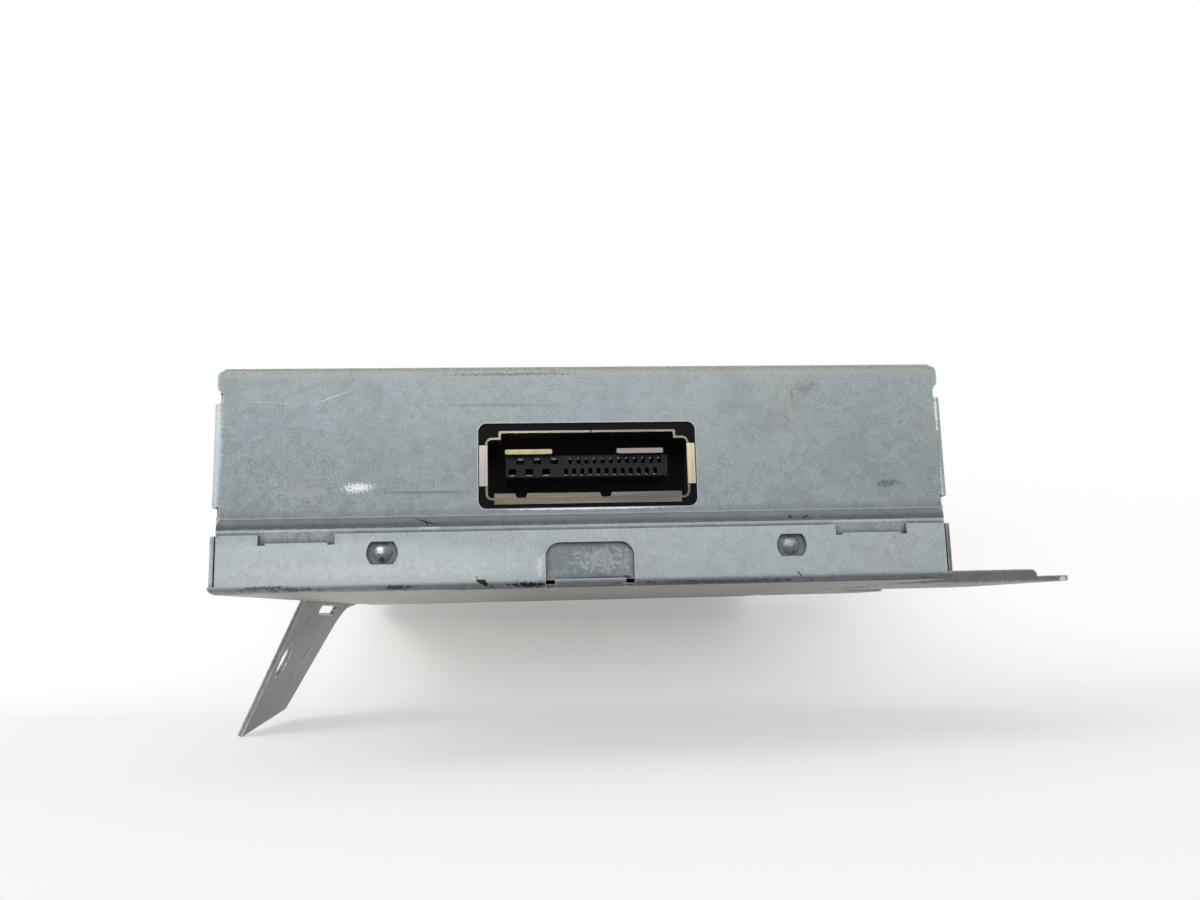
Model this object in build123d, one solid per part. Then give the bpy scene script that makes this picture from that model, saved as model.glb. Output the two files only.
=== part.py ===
from build123d import *
import os
from math import cos, radians, sin

# Car head unit box with a docking socket: a zinc-coated sheet-steel case, its cover, two brackets and what they hold.
# Millimetres. X runs to the right, Y away from the socket end, Z up. The origin is the middle of the underside.

# Case and cover
width = 178.0
depth = 240.0
height = 54.0
sheet = 0.9
lap_gap = 0.25
corner_gap = 0.8
seat_gap = 0.3
cover_height = 13.7
bend_radius = 1.8
case_bend = 1.6
joggle_start = 15.0
joggle_rise = 2.4

# Socket-end wall
tab_low = 20.5
tab_high = 45.3
tab_length = 14.0
tab_bend = 2.0
relief_height = 2.5
relief_inset = 0.9
ear_reach = 0.35
ear_corner = 1.5

# Snap holes, dimples, notches and middle window of the cover's front flange
snap_x = 49.0
snap_z = 9.0
snap_hole_width = 7.4
snap_hole_height = 5.4
dimple_radius = 2.5
dimple_height = 0.75
notch_x = 68.9
notch_width = 17.8
notch_depth = 2.0
notch_relief = 1.7
notch_relief_depth = 0.5
window_width = 21.2
window_top = 10.7
window_bottom = 2.0
window_corner = 3.4
window_relief = 2.1

# Socket window and socket: heights are counted from the socket's middle
socket_z = 29.35
opening_margin = 1.7
opening_rise = 10.35
opening_corner = 2.0
nose_setback = 0.35
body_rim = 1.2
body_depth = 16.0
body_back_wall = 3.0
shield_width = 49.4
shield_drop = 8.35
shield_rise = 6.85
ledge_inset = 3.2
ledge_rise = 1.6
shield_sheet = 0.5
shield_corner = 1.6
shield_front = 0.1
shield_gap = 0.15
seam_x = 0.9
seam_width = 0.3
lip_inset = 2.1
lip_drop = 1.0
lip_height = 2.6
lock_notch_radius = 1.4
lock_notch_x = (-16.2, 4.2)
spring_width = 2.0
spring_height = 9.9
spring_sheet = 0.3
spring_reach = 8.0
key_width = 11.4
key_height = 1.2
key_x = (-14.3, 12.9)
key_front = 1.6
key_length = 9.0

# Contact block and contacts
block_front = 4.0
block_width = 40.0
block_height = 5.4
block_rise = 0.25
row_gap = 2.8
power_pitch = 4.1
power_count = 3
power_first = (-16.3, -18.3)
power_cavity = (1.95, 1.7)
signal_pitch = 2.0
signal_count = 12
signal_first = (-4.1, -5.2)
signal_cavity = (1.0, 1.7)
power_blade = 1.4
signal_blade = 0.6
blade_sheet = 0.35
blade_setback = 1.6
tail_row = (3.2, 1.4)

# Brackets
bracket_sheet = 1.6
leg_height = 13.2
bracket_bend = 1.0
droop = 66.0
left_start = 104.0
left_root_end = 205.0
left_length = 47.3
left_far_length = 42.6
left_tip_end = 155.0
left_neck = (179.0, 2.4)
left_neck_radius = 22.0
left_hole = 11.5
left_hole_place = (114.4, 21.6)
small_hole = 5.0
small_hole_place = (145.0, 20.2)
root_slot_length = 30.0
root_slot_width = 3.4
left_root_slot = (149.0, 3.0)
right_start = 51.0
front_ear_end = 127.0
front_ear_reach = 57.0
ear_chamfer = 5.0
saddle_reach = 17.0
saddle_radius = 9.0
rear_ear_to_back = 18.0
rear_ear_length = 42.0
rear_ear_reach = 47.0
lip_rise = 2.0
lip_end = 47.0
rear_lip_rise = 1.2
rear_lip_end = 45.0
right_root_slot = (95.0, 5.4)
bolt_hole = 5.5
front_bolt = (25.0, 68.0)
rear_bolt = (25.0, 20.0)
leg_screw_inset = 14.0
leg_screw_z = 7.4

# Screws
case_thread = 4.0
small_thread = 3.0
screw_slack = 0.2
head_ratio = 1.9
head_share = 0.55

# Main board
board_top = 18.0
board_sheet = 1.6
board_gap = 1.4
board_front = 5.0
board_back = 8.0
lug_length = 8.0
lug_width = 10.0
lug_inset = 7.0

# Rear wall
aerial_x = 52.0
aerial_z = 29.0
aerial_radius = 5.6
aerial_bore = 3.6
aerial_flange = 7.6
aerial_stick_out = 6.0
aerial_pin = 0.9
tuner_size = (46.0, 34.0, 20.0)
tuner_to_wall = 16.0
can_sheet = 0.5
vent_count = 9
vent_pitch = 6.0
vent_width = 2.6
vent_height = 14.0
vent_x = -46.0
vent_z = 38.0

# Heat sink and amplifier
sink_to_board_end = 27.0
sink_length = 84.0
sink_height = 30.0
sink_plate = 4.0
fin_count = 9
fin_thick = 1.6
fin_reach = 13.0
amp_size = (4.5, 29.0, 15.5)
amp_lift = 6.0
amp_legs = 13
amp_leg = 0.6
amp_leg_pitch = 2.0
clamp_sheet = 1.0
clamp_foot = 8.0
clamp_width = 12.0

# Parts on the board: size, then place counted from the socket end
filter_cap_size = (8.0, 25.0)
filter_cap_places = ((-34.0, 62.0), (-15.0, 62.0))
small_cap_size = (4.0, 11.5)
small_cap_places = ((4.0, 60.0), (16.0, 60.0), (-40.0, 92.0), (-28.0, 92.0), (-40.0, 160.0), (-28.0, 160.0))
crimp_depth = 0.6
crimp_height = 3.0
choke_radius = 10.0
choke_hole = 5.0
choke_height = 7.0
choke_wire = 1.4
choke_place = (-62.0, 62.0)
main_chip = (28.0, 28.0, 2.8)
main_chip_place = (26.0, 100.0)
sound_chip = (20.0, 20.0, 2.2)
sound_chip_place = (-12.0, 124.0)
memory_chip = (12.0, 18.4, 1.4)
memory_chip_place = (60.0, 100.0)
crystal_size = (11.0, 4.6, 3.5)
crystal_place = (26.0, 126.0)
chip_leg = 1.2
chip_leg_sheet = 0.5
chip_leg_pitch = 1.27
regulator_size = (10.0, 4.4, 9.2)
regulator_tab = (10.0, 1.3, 15.5)
regulator_place = (64.0, 62.0)
fuse_holder_size = (22.0, 9.0, 10.0)
fuse_slot = (19.4, 4.4, 7.0)
fuse_place = (-62.0, 32.0)
fuse_height = 12.0
fuse_gap = 0.3
diode_size = (2.6, 9.0)
diode_places = ((46.0, 28.0), (56.0, 28.0), (66.0, 28.0), (76.0, 28.0))

front = -depth / 2
rear = depth / 2
half = width / 2
case_half = half - sheet - lap_gap
joggle = sheet + seat_gap
joggle_top = joggle_start + joggle_rise
board_low = board_top - board_sheet
lug_low = board_low - sheet
board_half = case_half - sheet - board_gap
inner_back = rear - sheet
rear_ear_end = depth - rear_ear_to_back
rear_ear_start = rear_ear_end - rear_ear_length
sink_start = depth - sheet - board_back - sink_to_board_end - sink_length

opening_width = shield_width + 2 * opening_margin
opening_height = 2 * opening_rise
shield_low = socket_z - shield_drop
shield_shoulder = socket_z + shield_rise
shield_top = shield_shoulder + ledge_rise
lip_width = shield_width - 2 * lip_inset
lip_low = shield_low - lip_drop
lip_high = lip_low + lip_height
block_low = socket_z + block_rise - block_height / 2
block_high = block_low + block_height


def block(x, y, z):
    """A box between pairs of limits."""
    middle = Pos((x[0] + x[1]) / 2, (y[0] + y[1]) / 2, (z[0] + z[1]) / 2)
    return middle * Box(abs(x[1] - x[0]), abs(y[1] - y[0]), abs(z[1] - z[0]))


def centred(x, y, z, size):
    """A box on its base, by the middle of that base."""
    return block((x - size[0] / 2, x + size[0] / 2), (y - size[1] / 2, y + size[1] / 2), (z, z + size[2]))


def rod(start, radius, length, axis="Z"):
    """A cylinder from start along an axis; a negative length runs backwards."""
    turn = {"X": (0, 90, 0), "Y": (-90, 0, 0), "Z": (0, 0, 0)}[axis]
    step = {"X": (1, 0, 0), "Y": (0, 1, 0), "Z": (0, 0, 1)}[axis]
    middle = [start[i] + step[i] * length / 2 for i in range(3)]
    return Pos(*middle) * Rot(*turn) * Cylinder(radius, abs(length))


def both_sides(shape):
    """The shape and its mirror image across the middle plane."""
    return [shape, mirror(shape, Plane.YZ)]


def along(distance):
    """Y of a place counted from the socket end."""
    return front + distance


def screw(point, direction, thread, length):
    """A pan-head screw: its head's underside at point, its shank running along direction."""
    head = thread * head_ratio / 2
    thick = thread * head_share
    cap = Pos(0, 0, -thick / 2) * Cone(head * 0.72, head, thick)
    arm = thread * 0.16
    cross = Box(head, arm, thick) + Box(arm, head, thick)
    shank = Pos(0, 0, length / 2) * Cylinder(thread / 2 - screw_slack, length)
    body = cap + shank - Pos(0, 0, -thick) * cross
    return Plane(origin=point, z_dir=direction) * body


def save(name, solids):
    """Writes one sub-part, a solid or a group of separate solids."""
    parts = solids if isinstance(solids, list) else [solids]
    loose = [solid for part in parts for solid in part.solids()]
    shape = loose[0] if len(loose) == 1 else Compound(children=loose)
    shape.label = name
    export_step(shape, f"parts/{name}.step")


# Upper case

def case_profile(inset):
    """Side outline of the case: straight walls that step inwards above the foot."""
    low = bend_radius if inset == 0 else 0
    step = joggle + inset
    shift = inset * 0.4
    points = [
        (front + step, low),
        (front + step, joggle_start + shift),
        (front + inset, joggle_top + shift),
        (front + inset, height - inset),
        (rear - inset, height - inset),
        (rear - inset, joggle_top + shift),
        (rear - step, joggle_start + shift),
        (rear - step, low),
    ]
    face = make_face(Polyline(*points, close=True))
    corners = face.vertices().group_by(Axis.Y)[-1]
    return fillet(corners, case_bend - inset if case_bend > inset else case_bend / 2)


def socket_opening(clearance, y):
    """The rounded socket window as a solid between two Y limits."""
    shape = RectangleRounded(opening_width - 2 * clearance, opening_height - 2 * clearance,
                             max(opening_corner - clearance, 0.3))
    plane = Plane(origin=(0, y[0], socket_z), x_dir=(1, 0, 0), z_dir=(0, -1, 0))
    return extrude(plane * shape, -(y[1] - y[0]))


def wall_tab():
    """The right side tab of the socket-end wall, bent back over the side wall."""
    reach = half - tab_bend
    outer = block((reach - sheet, half), (front, front + tab_length), (tab_low, tab_high))
    outer = fillet(outer.edges().filter_by(Axis.Z).group_by(Axis.Y)[0].sort_by(Axis.X)[-1:], tab_bend)
    inner = block((reach - 2 * sheet, half - sheet), (front + sheet, front + tab_length + 1), (0, height))
    inner = fillet(inner.edges().filter_by(Axis.Z).group_by(Axis.Y)[0].sort_by(Axis.X)[-1:], tab_bend - sheet)
    return outer - inner


def upper_case():
    outer = extrude(Plane.YZ * case_profile(0), case_half, both=True)
    outer = fillet(outer.edges().filter_by(Axis.Y).group_by(Axis.Z)[-1], case_bend)
    inner = extrude(Plane.YZ * case_profile(sheet), case_half - sheet, both=True)
    case = outer - inner
    relief_x = (case_half - relief_inset, half + 1)
    relief_y = (front - 1, front + tab_bend)
    for low in (tab_high, tab_low - relief_height):
        case -= both_sides(block(relief_x, relief_y, (low, low + relief_height)))
    corner = block((case_half - relief_inset, half), (front - 1, front + sheet + seat_gap), (tab_low, height + 1))
    case -= both_sides(corner)
    ear = block((case_half - 2 * relief_inset, case_half + ear_reach), (front, front + sheet),
                (tab_high + relief_height, height - case_bend / 2))
    ear = fillet(ear.edges().filter_by(Axis.Y).group_by(Axis.X)[-1], ear_corner)
    case += both_sides(ear)
    case += both_sides(wall_tab())
    case -= socket_opening(0, (front - 1, front + sheet + 1))
    case = add_dimples(case)
    case = add_lugs(case)
    case -= case_holes()
    return case


def add_dimples(case):
    """Domed dimples that snap into the holes of the cover's flange."""
    ball = (dimple_radius ** 2 + dimple_height ** 2) / (2 * dimple_height)
    face = front + joggle
    for x in (-snap_x, snap_x):
        centre = Pos(x, face - dimple_height + ball, snap_z)
        dome = centre * Sphere(ball)
        case += dome & block((x - ball, x + ball), (face - dimple_height - 1, face + sheet / 2), (0, joggle_start))
        case -= centre * Sphere(ball - sheet)
    return case


def lug_spots():
    """Middles of the four lugs that carry the board."""
    x = case_half - sheet - lug_length / 2
    back = inner_back - board_back - lug_inset
    return [(side * x, y) for side in (-1, 1) for y in (along(board_front + lug_inset), back)]


def add_lugs(case):
    """Lugs on the side walls under the corners of the board."""
    for x, y in lug_spots():
        lug = centred(x, y, lug_low, (lug_length + sheet, lug_width, sheet))
        case += lug
        case -= rod((x, y, lug_low - 1), small_thread / 2, sheet + 2)
    return case


def case_holes():
    """Holes for the aerial socket, the vents and the screws."""
    cuts = [rod((aerial_x, rear - 2 * sheet, aerial_z), aerial_radius + seat_gap, 3 * sheet, "Y")]
    first = vent_x - vent_pitch * (vent_count - 1) / 2
    for step in range(vent_count):
        x = first + step * vent_pitch
        cuts.append(block((x - vent_width / 2, x + vent_width / 2), (rear - 2 * sheet, rear + 1),
                          (vent_z - vent_height / 2, vent_z + vent_height / 2)))
    for x in (-snap_x, snap_x):
        cuts.append(rod((x, rear - joggle - 2 * sheet, snap_z), small_thread / 2, joggle + 3 * sheet, "Y"))
    for side, y in bracket_screw_spots():
        cuts.append(rod((side * (case_half - 2 * sheet), y, leg_screw_z), case_thread / 2, side * 3 * sheet, "X"))
    for y in sink_screw_spots():
        cuts.append(rod((-case_half + 2 * sheet, y, sink_screw_z()), small_thread / 2, -3 * sheet, "X"))
    return cuts


# Bottom cover

def bottom_cover():
    outer = block((-half, half), (front, rear), (0, cover_height))
    outer = fillet(outer.edges().group_by(Axis.Z)[0], bend_radius)
    inner = block((sheet - half, half - sheet), (front + sheet, rear - sheet), (sheet, cover_height + 1))
    inner = fillet(inner.edges().group_by(Axis.Z)[0], bend_radius - sheet)
    cover = outer - inner
    slit = sheet + lap_gap
    for y in ((front - 1, front + slit), (rear - slit, rear + 1)):
        cover -= both_sides(block((half - sheet - corner_gap, half + 1), y, (bend_radius, cover_height + 1)))
    ends = cover.edges().filter_by(Axis.Y).group_by(Axis.Z)[-1].filter_by(lambda edge: edge.length < 2 * sheet)
    cover = fillet(ends, ear_corner * 0.8)
    for x in (-notch_x, notch_x):
        cover -= flange_notch(x)
        cover -= snap_hole(x / abs(x) * snap_x)
        cover -= rod((x / abs(x) * snap_x, rear + 1, snap_z), small_thread / 2 + lap_gap, -2 * sheet - 1, "Y")
    cover -= flange_window()
    for side, y in bracket_screw_spots():
        cover -= rod((side * (half + 1), y, leg_screw_z), case_thread / 2 + lap_gap, -side * (sheet + 1.5), "X")
    return cover


def flange_notch(x):
    """A notch in the flange's top edge with a small relief at each end."""
    y = (front - 1, front + sheet + 0.1)
    low = cover_height - notch_depth
    notch = block((x - notch_width / 2, x + notch_width / 2), y, (low, cover_height + 1))
    for end in (-1, 1):
        edge = x + end * notch_width / 2
        notch += block((edge, edge - end * notch_relief), y, (low - notch_relief_depth, cover_height + 1))
    return notch


def snap_hole(x):
    """A flat-sided hole: a circle cut off above and below."""
    hole = rod((x, front - 1, snap_z), snap_hole_width / 2, sheet + 1.1, "Y")
    flat = (snap_z - snap_hole_height / 2, snap_z + snap_hole_height / 2)
    return hole & block((x - snap_hole_width, x + snap_hole_width), (front - 2, front + 2 * sheet), flat)


def flange_window():
    """The middle window, with square reliefs beside the tab at its foot."""
    side = window_width / 2
    y = (front - 1, front + sheet + 0.1)
    hole = block((-side, side), y, (window_bottom, window_top))
    hole = fillet(hole.edges().filter_by(Axis.Y).group_by(Axis.Z)[-1], window_corner)
    relief = block((side - window_relief, side), (front - 1, front + bend_radius + sheet),
                   (-1, window_bottom + sheet))
    return [hole, *both_sides(relief)]


# Brackets

def bracket_screw_spots():
    """Side and Y of the screws that hold the bracket legs."""
    spots = [(-1, along(left_start + leg_screw_inset)), (-1, along(left_root_end - leg_screw_inset))]
    return spots + [(1, along(right_start + leg_screw_inset)), (1, along(rear_ear_end - leg_screw_inset))]


def leg_holes(leg, side):
    for place, y in bracket_screw_spots():
        if place == side:
            leg -= rod((side * (half - 1), y, leg_screw_z), case_thread / 2 + lap_gap,
                       side * (bracket_sheet + 2), "X")
    return leg


def slot_face(place, length, breadth, turned=False):
    shape = SlotOverall(length, breadth)
    return Pos(*place) * (Rot(0, 0, 90) * shape if turned else shape)


def left_bracket():
    """A leg on the cover's side and a tapered wing that hangs down and outwards."""
    angle = radians(droop)
    outward = Vector(-sin(angle), 0, cos(angle))
    wing_plane = Plane(origin=(-half, 0, 0), x_dir=(0, 1, 0), z_dir=outward)
    points = [(left_start, 0), (left_start, left_length), (left_tip_end, left_far_length),
              left_neck, (left_root_end, 0)]
    face = make_face(Polyline(*[(along(y), s) for y, s in points], close=True))
    neck = face.vertices().sort_by_distance((along(left_neck[0]), left_neck[1]))[0]
    face = fillet(neck, left_neck_radius)
    tip = face.vertices().sort_by_distance((along(left_tip_end), left_far_length))[0]
    face = fillet(tip, bracket_sheet)
    holes = [
        Pos(along(left_hole_place[0]), left_hole_place[1]) * Circle(left_hole / 2),
        Pos(along(small_hole_place[0]), small_hole_place[1]) * Circle(small_hole / 2),
        slot_face((along(left_root_slot[0]), left_root_slot[1]), root_slot_length, root_slot_width),
    ]
    wing = extrude(wing_plane * (face - holes), bracket_sheet)
    leg = block((-half - bracket_sheet, -half), (along(left_start), along(left_root_end)), (0, leg_height))
    leg = fillet(leg.edges().filter_by(Axis.X).group_by(Axis.Z)[-1], 2 * bracket_sheet)
    return leg_holes(wing + leg, -1)


def wing_outline():
    """Plan of the right wing: a front ear, a saddle and a rear ear."""
    root = half + bracket_sheet + bracket_bend
    outer = half + front_ear_reach
    back = half + rear_ear_reach
    cut = ear_chamfer
    points = [
        (root, right_start), (outer, right_start), (outer, front_ear_end - cut), (outer - cut, front_ear_end),
        (half + saddle_reach, front_ear_end), (half + saddle_reach, rear_ear_start),
        (back - cut / 2, rear_ear_start), (back, rear_ear_start + cut),
        (back, rear_ear_end - cut), (back - cut, rear_ear_end), (root, rear_ear_end),
    ]
    face = make_face(Polyline(*[(x, along(y)) for x, y in points], close=True))
    tip = face.vertices().sort_by_distance((outer, along(right_start)))[0]
    face = fillet(tip, bracket_sheet)
    for y in (front_ear_end, rear_ear_start):
        inner = face.vertices().sort_by_distance((half + saddle_reach, along(y)))[0]
        face = fillet(inner, saddle_radius)
    return face


def lip(limit, y, rise):
    """A stiffening lip turned up along an ear's front edge, with a rounded outer end."""
    root = half + bracket_sheet + bracket_bend
    ridge = block((root, half + limit), (along(y), along(y) + bracket_sheet), (bracket_sheet / 2, bracket_sheet + rise))
    return fillet(ridge.edges().filter_by(Axis.Y).group_by(Axis.X)[-1].sort_by(Axis.Z)[-1:], rise * 0.9)


def right_bracket():
    """A leg on the cover's side and a flat wing level with the underside."""
    outer_bend = bracket_sheet + bracket_bend
    start = (half, leg_height)
    inner_x = half + bracket_sheet
    low_z = bracket_sheet + bracket_bend
    outline = [
        Line(start, (half, outer_bend)),
        RadiusArc((half, outer_bend), (half + outer_bend, 0), -outer_bend),
        Line((half + outer_bend, 0), (half + outer_bend, bracket_sheet)),
        RadiusArc((half + outer_bend, bracket_sheet), (inner_x, low_z), bracket_bend),
        Line((inner_x, low_z), (inner_x, leg_height)),
        Line((inner_x, leg_height), start),
    ]
    section = Plane(origin=(0, along(rear_ear_end), 0), x_dir=(1, 0, 0), z_dir=(0, -1, 0)) * make_face(outline)
    leg = extrude(section, rear_ear_end - right_start)
    leg = fillet(leg.edges().filter_by(Axis.X).group_by(Axis.Z)[-1], 2 * bracket_sheet)
    holes = [
        Pos(half + front_bolt[0], along(front_bolt[1])) * Circle(bolt_hole / 2),
        Pos(half + rear_bolt[0], along(rear_ear_end - rear_bolt[1])) * Circle(bolt_hole / 2),
        slot_face((half + right_root_slot[1], along(right_root_slot[0])), root_slot_length, root_slot_width, True),
    ]
    wing = extrude(wing_outline() - holes, bracket_sheet)
    wing += lip(lip_end, right_start, lip_rise)
    wing += lip(rear_lip_end, rear_ear_start, rear_lip_rise)
    return leg_holes(leg + wing, 1)


# Socket

def front_face(shape, y):
    """Places a flat shape, drawn in X and Z, on the plane Y = y facing the socket end."""
    return Plane(origin=(0, y, 0), x_dir=(1, 0, 0), z_dir=(0, -1, 0)) * shape


def shield_face(inset):
    """Outline of the shield: a wide body and a narrower top ledge."""
    wide = shield_width / 2 - inset
    narrow = wide - ledge_inset
    low = shield_low + inset
    shoulder = shield_shoulder - inset
    high = shield_top - inset
    points = [(-wide, low), (wide, low), (wide, shoulder), (narrow, shoulder),
              (narrow, high), (-narrow, high), (-narrow, shoulder), (-wide, shoulder)]
    face = make_face(Polyline(*points, close=True))
    outer = [v for v in face.vertices() if abs(abs(v.X) - wide) < 0.01]
    face = fillet(outer, shield_corner - inset)
    crown = [v for v in face.vertices() if abs(v.Y - high) < 0.01]
    return fillet(crown, shield_sheet)


def block_back():
    """Y where the contact block meets the socket body's back wall."""
    return along(nose_setback + body_depth - body_back_wall)


def socket_body():
    """Black moulded frame: a nose in the window, a wider body behind the wall and a back wall."""
    nose = socket_opening(lap_gap, (along(nose_setback), along(joggle)))
    side = opening_width / 2 + body_rim
    body = block((-side, side), (along(sheet + seat_gap), along(nose_setback + body_depth)),
                 (board_top, socket_z + opening_height / 2 + body_rim))
    bore = extrude(front_face(shield_face(-shield_gap), block_back()), block_back() - front + 1)
    lip_side = lip_width / 2 + shield_gap
    lip_room = block((-lip_side, lip_side), (front - 1, along(shield_front + 2 * shield_sheet)),
                     (lip_low - shield_gap, shield_shoulder))
    clips = both_sides(block((shield_width / 2 - 1, shield_width / 2 + spring_width - shield_sheet + lap_gap),
                             (front - 1, along(spring_reach + seat_gap)), clip_limits(shield_gap)))
    frame = nose + body - bore - lip_room - clips
    return frame - cavities(block_back() - 1, along(nose_setback + body_depth) + 1)


def clip_limits(slack):
    return (socket_z - spring_height / 2 - slack, socket_z + spring_height / 2 + slack)


def shield():
    """Folded shield with a seam on top and a front lip below with two lock notches."""
    length = block_back() - along(shield_front)
    tube = extrude(front_face(shield_face(0), block_back()), length)
    tube -= extrude(front_face(shield_face(shield_sheet), block_back() + 1), length + 2)
    tube -= block((seam_x - seam_width / 2, seam_x + seam_width / 2), (front - 1, rear),
                  (shield_shoulder, shield_top + 1))
    rim = block((-lip_width / 2, lip_width / 2), (along(shield_front), along(shield_front + shield_sheet)),
                (lip_low, lip_high))
    for x in lock_notch_x:
        rim -= rod((x, front - 1, lip_high), lock_notch_radius, 3, "Y")
    return tube + rim


def spring_clips():
    """Spring clips hooked over the shield's sides."""
    side = shield_width / 2
    face_out = side - shield_sheet + spring_width
    z = clip_limits(0)
    face = block((side - shield_sheet, face_out), (along(shield_front - spring_sheet), along(shield_front)), z)
    arm = block((face_out - spring_sheet, face_out), (along(shield_front - spring_sheet), along(spring_reach)), z)
    return both_sides(fillet((face + arm).edges().filter_by(Axis.Z).sort_by_distance(
        (face_out, along(shield_front - spring_sheet), socket_z))[:1], spring_sheet))


def key_bars():
    """Polished bars on top of the contact block that key the plug."""
    bars = []
    for x in key_x:
        bar = block((x - key_width / 2, x + key_width / 2), (along(key_front), along(key_front + key_length)),
                    (block_high, block_high + key_height))
        ends = bar.edges().filter_by(Axis.Y)
        bars.append(fillet(ends, key_height * 0.3))
    return bars


def contact_rows():
    """Every contact: x, row (1 upper, -1 lower), cavity size and blade width."""
    rows = []
    for row, first, count, pitch, size, blade in (
        (1, power_first[0], power_count, power_pitch, power_cavity, power_blade),
        (-1, power_first[1], power_count, power_pitch, power_cavity, power_blade),
        (1, signal_first[0], signal_count, signal_pitch, signal_cavity, signal_blade),
        (-1, signal_first[1], signal_count, signal_pitch, signal_cavity, signal_blade),
    ):
        rows += [(first + step * pitch, row, size, blade) for step in range(count)]
    return rows


def row_z(row):
    return (block_low + block_high) / 2 + row * row_gap / 2


def cavities(start, end):
    """The contact cavities as boxes between two Y limits."""
    return [block((x - size[0] / 2, x + size[0] / 2), (start, end),
                  (row_z(row) - size[1] / 2, row_z(row) + size[1] / 2))
            for x, row, size, _ in contact_rows()]


def contact_block():
    block_y = (along(block_front), block_back())
    body = block((-block_width / 2, block_width / 2), block_y, (block_low, block_high))
    body = chamfer(body.edges().group_by(Axis.Y)[0], shield_sheet / 2)
    return body - cavities(along(block_front) - 1, block_back() + 1)


def contacts(size_wanted):
    """Bent contacts of one kind: a blade in its cavity and a tail down to the board."""
    out = []
    back = along(nose_setback + body_depth)
    for x, row, size, blade in contact_rows():
        if size != size_wanted:
            continue
        wall = row_z(row) + row * size[1] / 2
        z = (wall - row * blade_sheet, wall)
        tail_y = back + (tail_row[0] if row > 0 else tail_row[1])
        spread = (x - blade / 2, x + blade / 2)
        arm = block(spread, (along(block_front + blade_setback), tail_y), (min(z), max(z)))
        tail = block(spread, (tail_y - blade_sheet, tail_y), (board_top, max(z)))
        out.append(arm + tail)
    return out


# Board and what stands on it

def main_board():
    board = block((-board_half, board_half), (along(board_front), inner_back - board_back), (board_low, board_top))
    for x, y in lug_spots():
        board -= rod((x, y, board_low - 1), small_thread / 2 + lap_gap, board_sheet + 2)
    return board


def capacitor(size, crimp=0):
    """An electrolytic capacitor: a can, which may have a crimp this far above its foot."""
    radius, tall = size
    groove = crimp_depth
    low = [(radius, crimp - groove), (radius - groove, crimp), (radius, crimp + groove)] if crimp else []
    points = [(0, 0), (radius, 0), *low, (radius, tall - groove), (radius - groove, tall), (0, tall)]
    return revolve(Plane.XZ * make_face(Polyline(*points, close=True)), Axis.Z)


def placed(shape, places):
    return [Pos(x, along(y), board_top) * shape for x, y in places]


def chip(size, place):
    """A flat package with a row of legs on two sides, joined under its edge."""
    x, y = place[0], along(place[1])
    body = centred(x, y, board_top + chip_leg_sheet, (size[0], size[1], size[2]))
    body = chamfer(body.faces().sort_by(Axis.Z)[-1].edges(), size[2] * 0.12)
    legs = int(size[1] / chip_leg_pitch) - 2
    for step in range(legs):
        leg_y = y + (step - (legs - 1) / 2) * chip_leg_pitch
        body += centred(x, leg_y, board_top, (size[0] + 2 * chip_leg, chip_leg_sheet, chip_leg_sheet))
    return body


def choke_ring(inset, height_used):
    x, y = choke_place[0], along(choke_place[1])
    ring = Cylinder(choke_radius + inset, height_used) - Cylinder(choke_hole - inset, height_used + 1)
    return Pos(x, y, board_top + choke_wire + choke_height / 2) * ring


def choke_core():
    return choke_ring(0, choke_height)


def choke_winding():
    """The winding as one closed sleeve round the core, because it is out of sight."""
    sleeve = choke_ring(choke_wire, choke_height + 2 * choke_wire)
    return sleeve - choke_ring(0, choke_height)


def regulator():
    x, y = regulator_place[0], along(regulator_place[1])
    legs_high = regulator_size[2] * 0.4
    body = centred(x, y, board_top + legs_high, regulator_size)
    tab = centred(x, y + regulator_size[1] / 2, board_top + legs_high, regulator_tab)
    tab -= rod((x, y, board_top + legs_high + regulator_tab[2] - 3), 1.8, regulator_size[1] + 4, "Y")
    legs = [centred(x + shift * regulator_size[0] / 4, y, board_top, (0.9, 0.6, legs_high)) for shift in (-1, 0, 1)]
    return body + tab + legs


def fuse_holder():
    x, y = fuse_place[0], along(fuse_place[1])
    holder = centred(x, y, board_top, fuse_holder_size)
    floor = board_top + fuse_holder_size[2] - fuse_slot[2]
    return holder - centred(x, y, floor, (fuse_slot[0], fuse_slot[1], fuse_slot[2] + 1))


def blade_fuse():
    x, y = fuse_place[0], along(fuse_place[1])
    floor = board_top + fuse_holder_size[2] - fuse_slot[2]
    long = fuse_slot[0] - 2 * fuse_gap
    thick = fuse_slot[1] - 2 * fuse_gap
    body = centred(x, y, floor, (long, thick, fuse_height))
    return chamfer(body.faces().sort_by(Axis.Z)[-1].edges(), thick * 0.12)


def diode(place):
    """A round diode lying on the board between bent leads."""
    radius, long = diode_size
    x, y = place[0], along(place[1])
    body = rod((x, y - long / 2, board_top + radius), radius, long, "Y")
    lead = radius * 0.4
    body += block((x - lead / 2, x + lead / 2), (y - long, y + long),
                  (board_top + radius - lead / 2, board_top + radius + lead / 2))
    return body + [centred(x, y + side * (long - lead / 2), board_top, (lead, lead, radius)) for side in (-1, 1)]


def tuner_can():
    back = rear - tuner_to_wall
    size = tuner_size
    can = block((aerial_x - size[0] / 2, aerial_x + size[0] / 2), (back - size[1], back),
                (board_top, board_top + size[2]))
    can = fillet(can.edges().filter_by(Axis.Z), 2 * can_sheet)
    hollow = block((aerial_x - size[0] / 2 + can_sheet, aerial_x + size[0] / 2 - can_sheet),
                   (back - size[1] + can_sheet, back - can_sheet), (board_top - 1, board_top + size[2] - can_sheet))
    return can - hollow


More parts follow.
